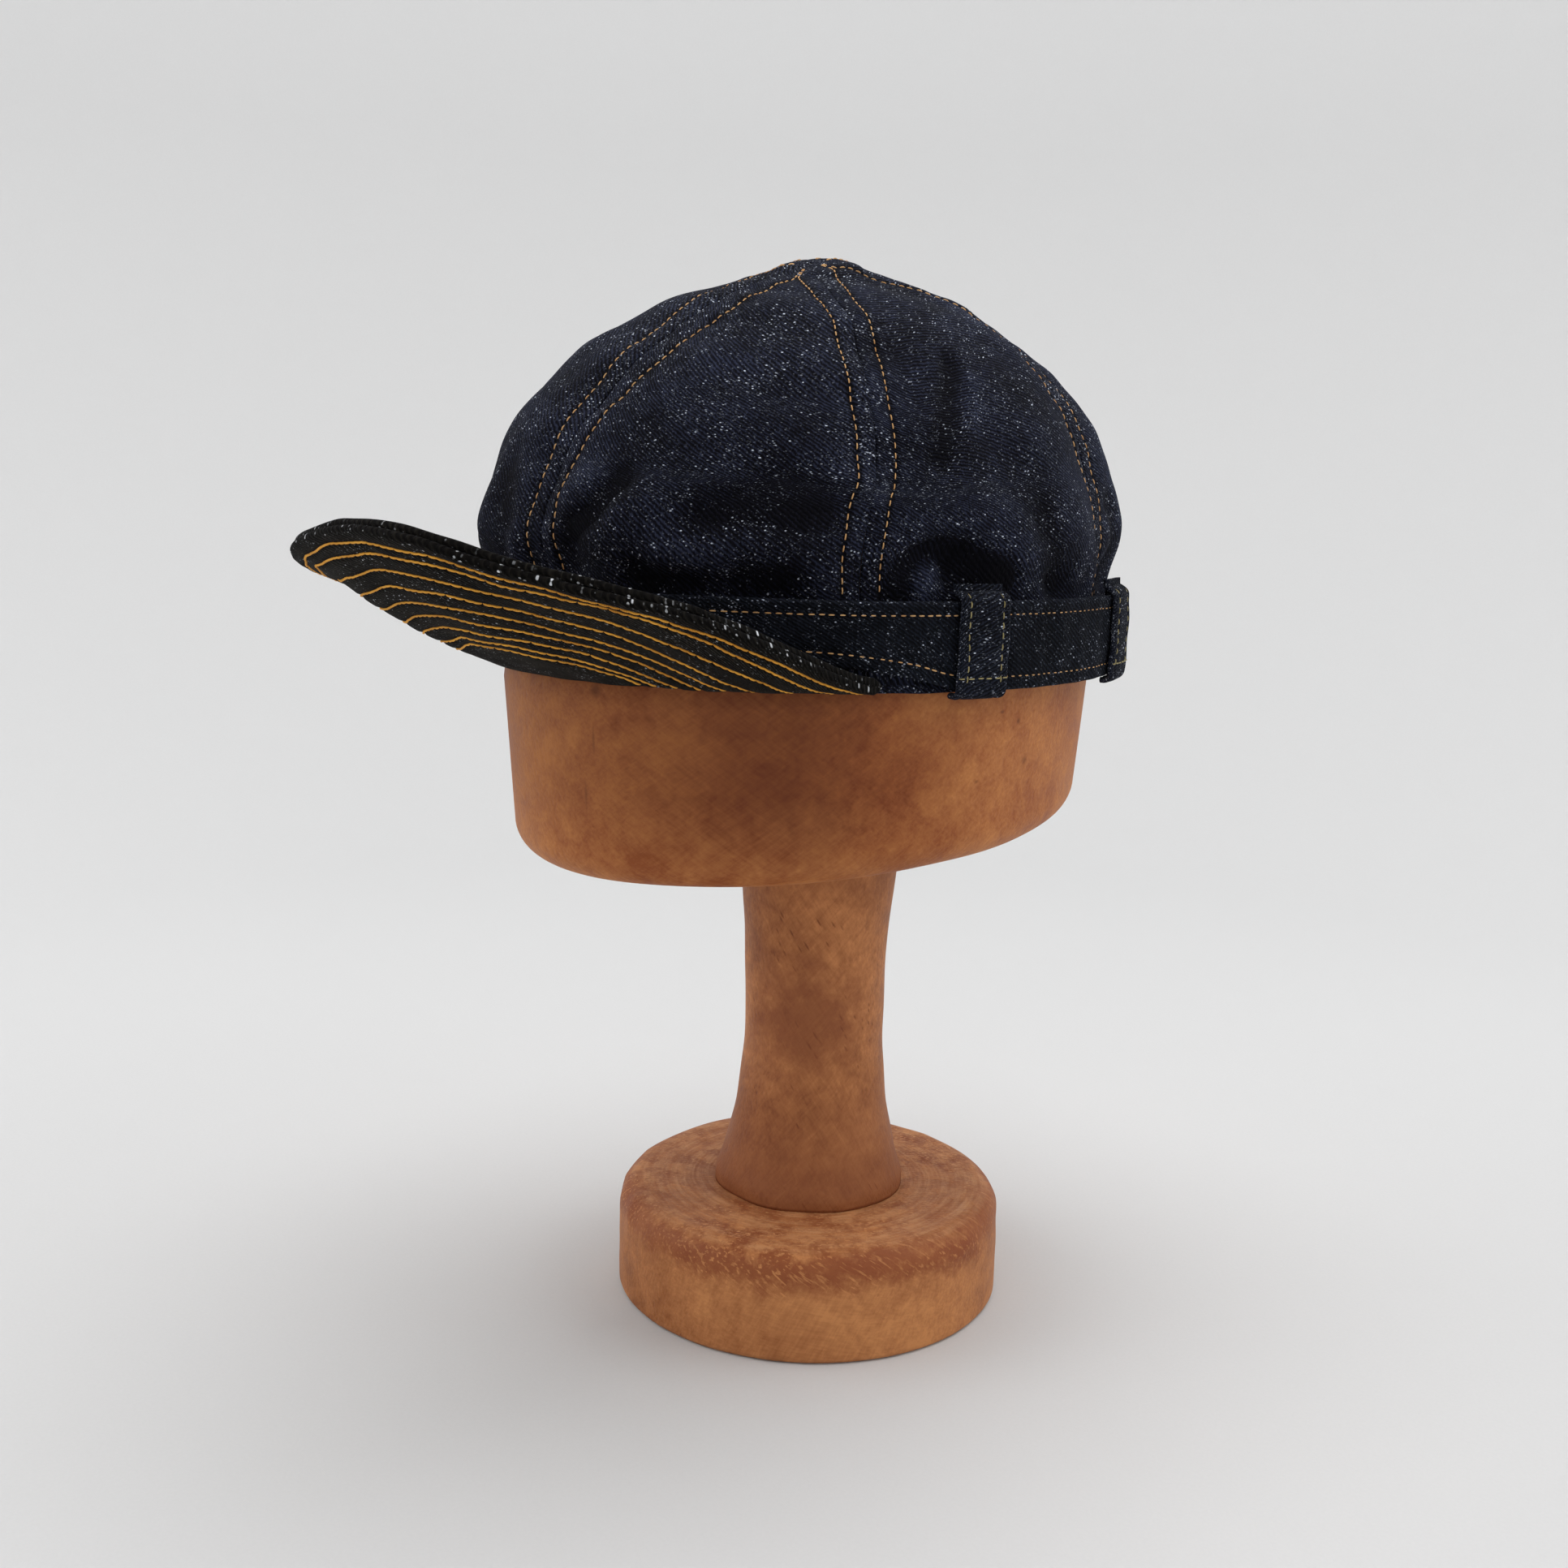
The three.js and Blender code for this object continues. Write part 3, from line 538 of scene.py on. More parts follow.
def crown_shape(panel, along, across):
    """The smooth outside of one crown panel, without its seams and puckers."""
    start, end = seams[panel], seams[panel + 1]
    angle = start + across * (end - start)
    size = np.interp(along * line_length[-1], line_length, line[:, 0]) / cap_half_length
    drift = np.interp(size, drift_sizes, drift_shares)
    far_drift = np.interp(size, far_sizes, far_shares)
    facing = np.clip((0.5 + 0.5 * np.cos(angle - drift_facing)) ** 4 / 0.75, 0, 1)
    drift = far_drift + (drift - far_drift) * facing
    off_seam = (angle - seams[1] + math.pi) % full_turn - math.pi
    aside = np.interp(size, aside_sizes, tip_aside) + read_curve(
        bend_places, bend_reach, along) * np.exp(-(off_seam / bend_spread) ** 2)
    x = size * np.sin(angle) + (drift * seam_drift[0] + aside * to_side[0]) / cap_half_width
    y = -size * np.cos(angle) + (drift * seam_drift[1] + aside * to_side[1]) / cap_half_length
    angle, drifted = np.arctan2(x, -y), np.hypot(x, y)
    at_size = lambda share: np.interp(-share * cap_half_length, -line[upper, 0],
                                      line_length[upper])
    place = along * line_length[-1] + at_size(drifted) - at_size(size)
    radius = np.interp(place, line_length, line[:, 0])
    level = np.interp(place, line_length, line[:, 1])
    height = level / crown_height
    puff = panel_puff * read_curve(crown_heights, crown_puffs, height)
    bulge = np.clip(np.sin(math.pi * across), 0, 1) ** panel_fullness
    left, right = seam_distance(panel, along, across)
    flat = np.clip(np.minimum(left, right) / seam_flat, 0, 1)
    bulge = bulge * (0.25 + 0.75 * flat * flat * (3 - 2 * flat)) - 0.06
    points = oval(angle, radius / cap_half_length * (1 + puff * bulge))
    dent = 0
    for middle, rise, spread, reach, depth in crown_dents:
        turn = (angle - math.radians(middle) + math.pi) % full_turn - math.pi
        off = (turn / math.radians(spread)) ** 2 + ((height - rise) / reach) ** 2
        dent = dent + depth * dent_depth * np.exp(-off)
    points -= oval_outward(angle) * dent[..., None]
    points[..., 1] -= read_curve(crown_heights, crown_forward, height) * crown_height
    points[..., 0] += read_curve(crown_heights, crown_to_left, height) * crown_height
    points[..., 2] += level
    return points


def square_to(surface, u, v):
    """Directions square to a surface at u and v."""
    along_u = surface(np.minimum(u + normal_step, 1), v) - surface(
        np.maximum(u - normal_step, 0), v)
    along_v = surface(u, np.minimum(v + normal_step, 1)) - surface(
        u, np.maximum(v - normal_step, 0))
    way = np.cross(along_u, along_v)
    return way / np.maximum(np.linalg.norm(way, axis=-1), 1e-12)[..., None]


def seam_distance(panel, along, across):
    """How far a point of a panel is from the seam on its left and on its right."""
    start, end = seams[panel], seams[panel + 1]
    radius = np.interp(along * line_length[-1], line_length, line[:, 0]) / cap_half_length
    left = across * (end - start) * radius * oval_speed(start + 0 * across)
    right = (1 - across) * (end - start) * radius * oval_speed(end + 0 * across)
    return left, right


def hollow_at(angle, height):
    """Depth of the folds of the crown at an angle and a share of its height."""
    depth = 0 * angle
    y = height * crown_height
    for width, deep, *line_points in crown_folds:
        first = math.radians(line_points[0][0])
        x = ((angle - first + math.pi) % full_turn - math.pi + first) * fold_radius
        near = np.full(angle.shape, 1.0)
        for (a, b), (c, d) in zip(line_points, line_points[1:]):
            start = np.array([math.radians(a) * fold_radius, b * crown_height])
            way = np.array([math.radians(c) * fold_radius, d * crown_height]) - start
            t = np.clip(((x - start[0]) * way[0] + (y - start[1]) * way[1]) / (way @ way), 0, 1)
            near = np.minimum(near, np.hypot(x - start[0] - t * way[0], y - start[1] - t * way[1]))
        depth = depth + deep * millimetre * np.exp(-(near / (width * millimetre)) ** 2)
    return depth


def crown_relief(panel, along, across, points):
    """Height of the sewn and puckered cloth over its smooth shape, the shade painted into its
    folds, creases and stitch grooves, with its rubbed ridges drawn lighter, and the strip along
    its seams.
    """
    left, right = seam_distance(panel, along, across)
    near = np.minimum(left, right)
    room = np.clip((left + right) / (5 * stitch_inset), 0, 1)
    allowance = allowance_rise / (1 + np.exp((near - stitch_inset) / (0.4 * millimetre)))
    join = -join_depth * np.exp(-(near / (0.5 * millimetre)) ** 2)
    groove = -groove_depth * np.exp(-((near - stitch_inset) / groove_width) ** 2)
    pucker = sine_noise(points, pucker_size, 21) * np.exp(
        -((near - stitch_inset) / (5 * millimetre)) ** 2) * pucker_height
    crease = sine_noise(points, crease_size, 31) * crease_height
    crumple = sine_noise(points, crumple_size, 41) * crumple_height
    height = points[..., 2] / crown_height
    x = points[..., 0] - read_curve(crown_heights, crown_to_left, height) * crown_height
    y = points[..., 1] + read_curve(crown_heights, crown_forward, height) * crown_height
    angle = np.arctan2(x / cap_half_width, -y / cap_half_length)
    gather = (np.sin(angle * 23 + 2.2 * np.sin(angle * 5)) + 0.6 * np.sin(angle * 41 + 1)
              ) * np.exp(-((height - 0.2) / 0.1) ** 2) * gather_height
    tip = np.hypot(points[..., 0] - tip_x, points[..., 1] - tip_y)
    button = tip_rise * (0.5 - 0.5 * np.tanh((tip - tip_radius) / (1.6 * millimetre)))
    folds = hollow_at(angle, height)
    lift = (room * (allowance + join + groove) + pucker + crease + crumple + gather + button
            - folds)
    # Painted shade: the folds, the low parts of creases and gathers and the line of stitches are
    # drawn darker; the high parts of creases and gathers are drawn lighter, as rubbed
    painted_shade_and_wear = (folds / (2.2 * millimetre) - (crease + gather) / (1.5 * millimetre) * 0.35
              + 1.1 * np.exp(-((near - stitch_inset) / (0.8 * millimetre)) ** 2))
    strip = 1 / (1 + np.exp((near - stitch_inset) / (0.5 * millimetre)))
    return lift, painted_shade_and_wear, strip


def crown_skin(panel):
    """The outside of one panel as a function of its share across and along."""
    def surface(across, along):
        shape = lambda u, v: crown_shape(panel, v, u)
        points = shape(across, along)
        outward = square_to(shape, across, along)
        return points + outward * crown_relief(panel, along, across, points)[0][..., None]
    return surface


def slab(outer, inner):
    """A closed body between two grids of points: its points and faces."""
    rows, columns = outer.shape[:2]
    points = np.concatenate([outer.reshape(-1, 3), inner.reshape(-1, 3)])
    at = np.arange(rows * columns).reshape(rows, columns)
    under = at + rows * columns
    faces = []
    for sheet, turn in ((at, 1), (under, -1)):
        quads = np.stack([sheet[:-1, :-1], sheet[:-1, 1:], sheet[1:, 1:], sheet[1:, :-1]], -1)
        faces.append(quads.reshape(-1, 4)[:, ::turn])
    for top, low in ((at[0], under[0]), (under[-1], at[-1]), (under[:, 0], at[:, 0]),
                     (at[:, -1], under[:, -1])):
        faces.append(np.stack([top[:-1], low[:-1], low[1:], top[1:]], -1))
    return points, np.concatenate(faces).tolist()


def add_cloth(name, outer, inner, material, slot, node, weave, relief, lining=0.0):
    """A piece of cloth between two grids of points. lining shifts the weave of its inside."""
    points, faces = slab(into_place(outer), into_place(inner))
    weave, relief = (np.stack(given, -1).reshape(-1, 3) for given in (weave, relief))
    return add_piece(name, points, faces, material, slot, node,
                     cloth=np.concatenate([weave, weave + lining]),
                     relief=np.concatenate([relief, relief]))


# Space between flecks in millimetres, their reach in it, their share, their brightness
# and how much more there are on a rubbed edge
fleck_sizes = [(0.6, 0.45, 0.12, 0.22, 0), (1, 0.31, 0.06, 1.1, 0), (2.4, 0.16, 0.03, 1.3, 0),
               (1.15, 0.3, -0.42, 1, 0.45)]


def raw_denim(name, deep, middle, worn, fleck, fleck_share):
    """Unwashed indigo denim: near-black twill with pale flecks, dry and slightly hairy."""
    material, tree, shader = new_material(name)
    cloth = add(tree, "Attribute", 1, attribute_name="cloth")
    relief = add(tree, "Attribute", 1, attribute_name="relief")
    # The first channel of relief is painted shade, and lighter wear where it is below zero; the
    # second marks rubbed seams and edges
    painted_shade_and_wear = add(tree, "SeparateXYZ", 0, Vector=relief)
    strip = add(tree, "SeparateXYZ", 1, Vector=relief)
    # Indigo takes unevenly, in clouds some 25 mm wide and patches of 4 mm
    cloud = add(tree, "TexNoise", Vector=cloth, Scale=40, Detail=5, Roughness=0.65)
    # Slubby warp yarns, 0.6 mm apart, run up the cloth
    yarn_place = add(tree, "Mapping", Vector=cloth, Scale=(1, 0.12, 1))
    yarn = add(tree, "TexNoise", Vector=yarn_place, Scale=1700, Detail=3, Roughness=0.7)
    # Twill lines, 0.7 mm apart in the real cloth and 1.1 mm here so that they show
    twill_place = add(tree, "Mapping", Vector=cloth, Rotation=(0, 0, math.radians(-52)))
    twill = add(tree, "TexWave", 1, Vector=twill_place, Scale=0.314 / 0.0011, Distortion=4,
                Detail=3, Detail_Scale=2.5, Detail_Roughness=0.6)
    value = add(tree, "Math", operation="MULTIPLY_ADD", Value=yarn, Value_001=0.62,
                Value_002=add(tree, "Math", operation="MULTIPLY", Value=cloud, Value_001=0.5))
    value = add(tree, "Math", operation="MULTIPLY_ADD", Value=twill, Value_001=0.3,
                Value_002=value)
    # Painted shade: creases, folds, stitch grooves and the visor's lip are drawn darker, and
    # rubbed ridges and the edges of the belt and loops lighter
    value = add(tree, "Math", operation="MULTIPLY_ADD", Value=painted_shade_and_wear, Value_001=-0.18,
                Value_002=value)
    colour = add(tree, "ValToRGB", Fac=value,
                 stops=((0.53, deep), (0.73, middle), (0.97, worn)))
    # White cores of the weft show as flecks, thicker in some places and on rubbed seams
    patch = add(tree, "TexNoise", Vector=cloth, Scale=70, Detail=3)
    patch = add(tree, "MapRange", Value=patch, To_Min=0.17, To_Max=0.83)
    patch = add(tree, "Math", operation="MULTIPLY_ADD", Value=strip, Value_001=0.03,
                Value_002=patch)
    # Fewer flecks show where shade is painted, and more on the rubbed edges of the belt and loops
    patch = add(tree, "Math", operation="MULTIPLY_ADD", Value=painted_shade_and_wear, Value_001=-0.12,
                Value_002=patch)
    for cell, reach, share, least, on_edge in fleck_sizes:
        size = cell * millimetre
        fleck_place = add(tree, "Mapping", Vector=cloth, Rotation=(0, 0, math.radians(38)),
                          Location=(size * 9, 0, 0), Scale=(1, 1.35, 1))
        near = add(tree, "TexVoronoi", 0, Vector=fleck_place, Scale=1 / size)
        drawn = add(tree, "TexVoronoi", 1, Vector=fleck_place, Scale=1 / size)
        chance = add(tree, "SeparateColor", 0, Color=drawn)
        bright = add(tree, "SeparateColor", 1, Color=drawn)
        chance = add(tree, "Math", operation="ADD", Value=patch, Value_001=chance)
        chance = add(tree, "Math", operation="MULTIPLY_ADD", Value=strip, Value_001=on_edge,
                     Value_002=chance)
        shown = add(tree, "MapRange", Value=chance, From_Min=1.42 - fleck_share - share,
                    From_Max=1.54 - fleck_share - share)
        spot = add(tree, "MapRange", Value=near, From_Min=reach * 0.7, From_Max=reach,
                   To_Min=1, To_Max=0)
        spot = add(tree, "Math", operation="MULTIPLY", Value=spot, Value_001=shown)
        spot = add(tree, "Math", operation="MULTIPLY", Value=spot, Value_001=add(
            tree, "MapRange", Value=bright, To_Min=least * 0.3, To_Max=least))
        colour = add(tree, "Mix", 2, data_type="RGBA", Factor_Float=spot, A_Color=colour,
                     B_Color=linear(fleck))
    height = add(tree, "Math", operation="MULTIPLY_ADD", Value=twill, Value_001=0.6,
                 Value_002=yarn)
    bump = add(tree, "Bump", Height=height, Strength=0.6, Distance=0.0006)
    feed(tree, shader, Base_Color=colour, Normal=bump, Roughness=0.92, Specular_IOR_Level=0.05,
         Sheen_Weight=0.03, Sheen_Roughness=0.4, Sheen_Tint=linear("#a9adba"))
    return material


crown_denim = raw_denim("raw indigo denim, crown", "#07070b", "#14151f", "#2f3447",
                        "#ccd4e4", 0.04)
along = np.linspace(0, 1, panel_rows + 1)
share = np.linspace(0, 1, panel_columns // 2 + 1)
for panel in range(6):
    left, right = seam_distance(panel, along, 0.5 + 0 * along)
    girth = left + right
    zone = np.minimum(seam_zone, girth * 0.3)[:, None]
    bent = np.where(share < zone_columns, share / zone_columns * zone,
                    zone + (share - zone_columns) / (1 - zone_columns)
                    * (girth[:, None] / 2 - zone))
    half = bent / girth[:, None]
    across = np.concatenate([half, 1 - half[:, -2::-1]], 1)
    rows = np.broadcast_to(along[:, None], across.shape)
    skin = crown_skin(panel)
    outer = skin(across, rows)
    outward = square_to(skin, across, rows)
    shape = crown_shape(panel, rows, across)
    relief = [*crown_relief(panel, rows, across, shape)[1:], 0 * across]
    weave = [(across - 0.5) * girth[:, None], rows * line_length[-1], 0 * across + panel]
    name = f"crown_panel_{panel + 1}"
    piece = add_cloth(name + "_denim", outer, shape - outward * cloth_thickness, crown_denim,
                      "crown_denim", name, weave, relief)

# The visor is two layers of denim over a stiffener, held together by nine rows of
# thread that follow its edge. It is sewn to the rim and flipped up, so its
# underside faces forward, and its edge is turned in and stands up as a soft roll.
visor_width = 74.6 * millimetre
visor_thickness = 3.6 * millimetre
visor_edge_thickness = 5 * millimetre
visor_end = math.radians(60.9)
visor_curl = math.radians(30)
visor_pull = 0.08
visor_sides = [-1, -0.8, -0.6, -0.45, -0.3, -0.14, 0, 0.14, 0.3, 0.45, 0.6, 0.8, 1]
visor_widths = [0.059, 0.29, 0.574, 0.768, 0.879, 0.965, 1, 0.995, 0.87, 0.738, 0.577, 0.29,
                0.059]
visor_rises = [8, 26, 29.9, 26.7, 27.9, 30.3, 32.4, 32, 30, 29.4, 29.5, 26, 8]
visor_curls = [0, 1.2, 0.79, -0.24, -0.1, 1.02, 0.97, 0.92, 0.1, -0.05, 0.8, 1.2, 0]
curl_steps = 8
visor_columns = 330
visor_rows = 110
visor_lip = 1.35 * millimetre
visor_rough_size = 5 * millimetre
visor_rough_height = 0.22 * millimetre
row_groove_depth = 0.45 * millimetre
row_groove_width = 0.9 * millimetre
visor_lip_turns = np.radians(np.linspace(75, -75, 9))
# How far in from the edge each sewn row lies, at places from the middle to the ends
row_places = [0, 0.2, 0.4, 0.6, 0.8, 1]
row_insets = [
    (4.6, 4.9, 4.0, 5.2, 4.8, 6), (8.4, 9.1, 7.6, 8.6, 12, 16), (15.2, 15.7, 16.4, 18.4, 23, 28),
    (21.6, 23, 25.8, 31, 38, 44), (28, 30, 34, 41, 50, 58), (34.2, 36.5, 41.5, 50, 61, 70),
    (40.4, 43.2, 49, 58.5, 71, 82), (46.4, 49.6, 56, 66.5, 80, 93), (50.6, 54, 61, 72, 87, 101)]


def visor_width_at(u):
    """Width of the visor from the rim to its edge."""
    return visor_width * read_curve(visor_sides, visor_widths, 2 * u - 1)


def visor_middle(u, v):
    """The middle surface of the visor, from the rim at v = 0 to its edge at v = 1."""
    side = 2 * u - 1
    angle = side * visor_end
    rise = np.radians(read_curve(visor_sides, visor_rises, side))
    curl = visor_curl * read_curve(visor_sides, visor_curls, side)
    outward = oval_outward(angle)
    leaning = outward * (1 - visor_pull) + [0, -visor_pull, 0]
    leaning /= np.linalg.norm(leaning, axis=-1)[..., None]
    root_slope = rise - curl / 2
    root = piece_gap * 1.75 + visor_thickness / 2 * np.abs(np.sin(root_slope))
    points = oval(angle) + outward * root[..., None]
    points[..., 2] += visor_thickness / 2 * np.cos(root_slope)
    stride = visor_width_at(u) * v / curl_steps
    for step in range(curl_steps):
        slope = rise + curl * ((step + 0.5) / curl_steps * v - 0.5)
        points += leaning * (stride * np.cos(slope))[..., None]
        points[..., 2] += stride * np.sin(slope)
    return points


def row_inset(row, u):
    """How far in from the visor's edge a sewn row lies."""
    waver = 0.35 * np.sin(u * 37 + row * 2.1) + 0.25 * np.sin(u * 91 + row * 1.3)
    return (read_curve(row_places, row_insets[row], np.abs(2 * u - 1)) + waver) * millimetre


def visor_face(under, u, inset, share=1.0):
    """Points of one face of the visor, with its sewn channels. under is 1 for the underside,
    inset the distance in from the edge and share the part of the thickness."""
    v = 1 - inset / visor_width_at(u)
    points = visor_middle(u, v)
    normal = square_to(visor_middle, u, v)
    thick = visor_thickness + (visor_edge_thickness - visor_thickness) * v * v
    end = np.sqrt(np.clip((0.5 - np.abs(u - 0.5)) / 0.012, 0, 1))
    swell = 0 * u
    for row in range(len(row_insets)):
        off = inset - row_inset(row, u)
        swell = swell - row_groove_depth * np.exp(-(off / row_groove_width) ** 2)
    rough = sine_noise(points, visor_rough_size, 61) * visor_rough_height
    lift = (thick / 2 + swell * np.clip(inset / (2 * millimetre), 0, 1)) * share * end + rough
    return points + normal * (lift * (2 * under - 1))[..., None]


visor_denim = raw_denim("raw indigo denim, visor", "#0a0908", "#181613", "#322f29",
                        "#dcdfe4", -0.06)
# Each face runs in from the rim, rounds its own lip and turns back to the groove between
# the two lips
u = np.broadcast_to(np.linspace(0, 1, visor_columns + 1),
                    (visor_rows + len(visor_lip_turns), visor_columns + 1))
flat = np.linspace(1, 0, visor_rows, endpoint=False)[:, None] ** 1.1
inset = np.concatenate([visor_lip + flat * (visor_width_at(u[:1]) - visor_lip),
                        visor_lip * (1 - np.cos(visor_lip_turns))[:, None] + 0 * u[:1]
                        [[0] * len(visor_lip_turns)]])
lobe = 1 - 2 * visor_lip / visor_edge_thickness
share = np.concatenate([np.ones(visor_rows),
                        lobe + (1 - lobe) * np.sin(visor_lip_turns)])[:, None]
outer, inner = (visor_face(under, u, inset, share) for under in (1, 0))
weave = [(u - 0.5) * 0.28, -inset, 0 * u + 7]
# Painted shade: the grooves beside the sewn rows and the rolled lip are drawn darker; the lip also
# gets more flecks, as rubbed
strip = np.clip(1 - inset / (3.6 * millimetre), 0, 1) * 2
row_groove_shade = sum(np.exp(-((inset - row_inset(row, u)) / row_groove_width) ** 2)
                 for row in range(len(row_insets)))
relief = [row_groove_shade + 0.4 * strip, strip, 0 * u]
visor = add_cloth("visor_quilted", outer, inner, visor_denim, "visor_denim", "visor", weave,
                  relief, lining=[0.1, 0.1, 1])

# The belt is a folded strip of denim, sewn along both edges, that runs round the
# foot of the crown through the loops. It hides the seam where crown and visor meet.
belt_height = 24.6 * millimetre
belt_thickness = 2 * millimetre
belt_hem_gap = 0.6 * millimetre
belt_ease = 0.6 * millimetre
belt_angles = [0, 40, 54, 65, 75, 120, 180]
belt_lifts = [0.3, 0.3, 0.27, 0.17, 0.01, 0, 0]
belt_stand_offs = [0, 0, 0.05, 0.07, 0.02, 0, 0]
belt_columns = 540
belt_rows = 22
belt_stitch_inset = 3.8 * millimetre
belt_rough_size = 9 * millimetre
belt_rough_height = 0.3 * millimetre
belt_ripple_height = 0.15 * millimetre


def crown_reach(lowest, highest):
    """How far outside the rim's oval the crown comes between two heights, at any angle."""
    angles = np.linspace(0, full_turn, 721)
    reach = np.zeros(angles.shape)
    for start, end, panel in zip(seams, seams[1:], range(6)):
        here = np.flatnonzero((angles >= start) & (angles <= end))
        across = (angles[here] - start) / (end - start)
        along, across = np.meshgrid(np.linspace(0, 0.5, 41), across)
        points = crown_shape(panel, along, across)
        rim = oval(angles[here])[:, None]
        off = ((points - rim) * oval_outward(angles[here])[:, None]).sum(-1)
        level = points[..., 2]
        off = np.where((level >= lowest) & (level <= highest), off, 0)
        reach[here] = np.maximum(reach[here], off.max(1))
    return lambda angle: np.interp(angle % full_turn, angles, reach)


belt_top = belt_hem_gap + belt_height
reach_at_belt = crown_reach(0, belt_top + belt_thickness)


def belt_place(angle):
    """Inner face, lower edge and upper edge of the belt at an angle."""
    turn = np.degrees(np.abs((angle + math.pi) % full_turn - math.pi))
    stand_off = belt_height * read_curve(belt_angles, belt_stand_offs, turn)
    lift = belt_hem_gap + belt_height * read_curve(belt_angles, belt_lifts, turn)
    return reach_at_belt(angle) + piece_gap + belt_ease + stand_off, lift, belt_top


def belt_face(inside):
    """One face of the belt, inside being 1 for the one on the crown."""
    def surface(u, v):
        angle = u * full_turn
        inner, low, top = belt_place(angle)
        outward = oval_outward(angle)
        level = low + (top - low) * v
        edge = np.minimum(level - low, top - level)
        half = belt_thickness / 2 * np.sqrt(np.clip(edge / (0.8 * millimetre), 0, 1))
        groove = -groove_depth * np.exp(-((edge - belt_stitch_inset) / groove_width) ** 2)
        points = oval(angle)
        rough = sine_noise(points + [0, 0, 1] * level[..., None], belt_rough_size, 71)
        ripple = rough * belt_rough_height + belt_ripple_height * np.sin(angle * 61)
        out = inner + belt_thickness / 2 + ripple + (half + groove) * (1 - 2 * inside)
        points = points + outward * out[..., None]
        points[..., 2] += level
        return points
    return surface


belt_denim = raw_denim("raw indigo denim, belt", "#050609", "#0d0f14", "#1d212b",
                       "#c2cadc", -0.02)
u = np.linspace(0, 1, belt_columns + 1)[None, :]
v = (0.5 - 0.5 * np.cos(np.linspace(0, math.pi, belt_rows + 1)))[:, None]
u, v = np.broadcast_arrays(u, v)
weave = [u * 0.6, v * belt_height, 0 * u + 11]
edge = np.minimum(v, 1 - v) * belt_height
strip = np.exp(-(edge / (1.2 * millimetre)) ** 2)
belt = add_cloth("belt_folded", belt_face(0)(u, v), belt_face(1)(u, v), belt_denim,
                 "belt_denim", "belt", weave, [-0.5 * strip, strip, 0 * u])

# Four belt loops of doubled denim are tacked to the crown above the belt, come down
# over it and turn in under it. Each is sewn along both sides.
loop_width = 17 * millimetre
loop_thickness = 1.8 * millimetre
loop_tack = 3.4 * millimetre
loop_length = 45 * millimetre
loop_stitch_inset = 2.6 * millimetre
loop_rough_size = 7 * millimetre
loop_rough_height = 0.25 * millimetre
loop_degrees = [77.5, 118, -77.5, -118]
loop_columns = 26
loop_rows = 70
loop_above = belt_top + piece_gap + loop_thickness / 2
reach_at_tack = crown_reach(belt_top, loop_above + loop_tack + loop_thickness)


def loop_path(angle, middle):
    """Places (outward, up) along a loop, from its tack down over the belt and in."""
    half_angle = loop_width / 2 / oval_speed(middle)
    held = [belt_place(middle + side * half_angle) for side in (-1.4, -0.7, 0, 0.7, 1.4)]
    low = min(float(place[1]) for place in held)
    out = max(float(place[0]) for place in held) + belt_thickness + piece_gap + loop_thickness / 2
    below = low - piece_gap - loop_thickness / 2
    seat = float(reach_at_tack(angle)) + piece_gap + loop_thickness / 2
    hem = piece_gap + loop_thickness / 2
    bend = loop_thickness
    stops = np.array([
        [seat, loop_above + loop_tack], [seat + bend / 5, loop_above + bend / 2],
        [max(out - bend, seat + bend / 2), loop_above + bend / 3],
        [out, loop_above - bend / 2], [out + 0.2 * millimetre, loop_above - 2 * bend],
        [out + 0.3 * millimetre, (loop_above + below) / 2],
        [out + 0.1 * millimetre, below + bend], [out - bend / 3, below + bend / 4],
        [out - bend, below], [hem, below]])
    length = np.concatenate([[0], np.cumsum(np.linalg.norm(np.diff(stops, axis=0), axis=1))])
    steps = np.linspace(0, length[-1], loop_rows + 1)
    return np.stack([read_curve(length, stops[:, 0], steps),
                     read_curve(length, stops[:, 1], steps)], 1)


def loop_face(middle, inside):
    """One face of a loop as a grid of points."""
    half_angle = loop_width / 2 / oval_speed(middle)
    grid = []
    for column in range(loop_columns + 1):
        side = -math.cos(column / loop_columns * math.pi)
        angle = middle + side * half_angle
        path = loop_path(angle, middle)
        tangent = np.gradient(path, axis=0)
        tangent /= np.linalg.norm(tangent, axis=1)[:, None]
        edge = (1 - abs(side)) * loop_width / 2
        half = loop_thickness / 2 * math.sqrt(min(edge / (0.7 * millimetre), 1))
        groove = 0.3 * millimetre * math.exp(
            -((edge - loop_stitch_inset) / (0.55 * millimetre)) ** 2)
        offset = (half - groove) * (1 - 2 * inside)
        radial = path[:, 0] - tangent[:, 1] * offset
        level = path[:, 1] + tangent[:, 0] * offset
        points = oval(np.array(angle)) + oval_outward(np.array(angle)) * radial[:, None]
        points[:, 2] += level
        grid.append(points)
    grid = np.stack(grid, 1)
    wobble = sine_noise(grid, loop_rough_size, 81) * loop_rough_height
    return grid + oval_outward(np.full(grid.shape[:2], middle)) * wobble[..., None]


loop_denim = raw_denim("raw indigo denim, loops", "#07080c", "#12141b", "#272b38",
                       "#ccd3e2", 0.07)
loop_faces = {}
for number, degrees in enumerate(loop_degrees, 1):
    middle = math.radians(degrees)
    outer, inner = loop_face(middle, 0), loop_face(middle, 1)
    loop_faces[number] = outer
    u, v = np.meshgrid(np.linspace(0, loop_width, loop_columns + 1),
                       np.linspace(0, loop_length, loop_rows + 1))
    edge = np.minimum(u, loop_width - u)
    strip = 1.5 * np.exp(-(edge / (1.5 * millimetre)) ** 2)
    name = f"belt_loop_{number}"
    piece = add_cloth(name + "_denim", outer, inner, loop_denim, "belt_denim", name,
                      [u, v, 0 * u + 13 + number], [-0.5 * strip, strip, 0 * u])

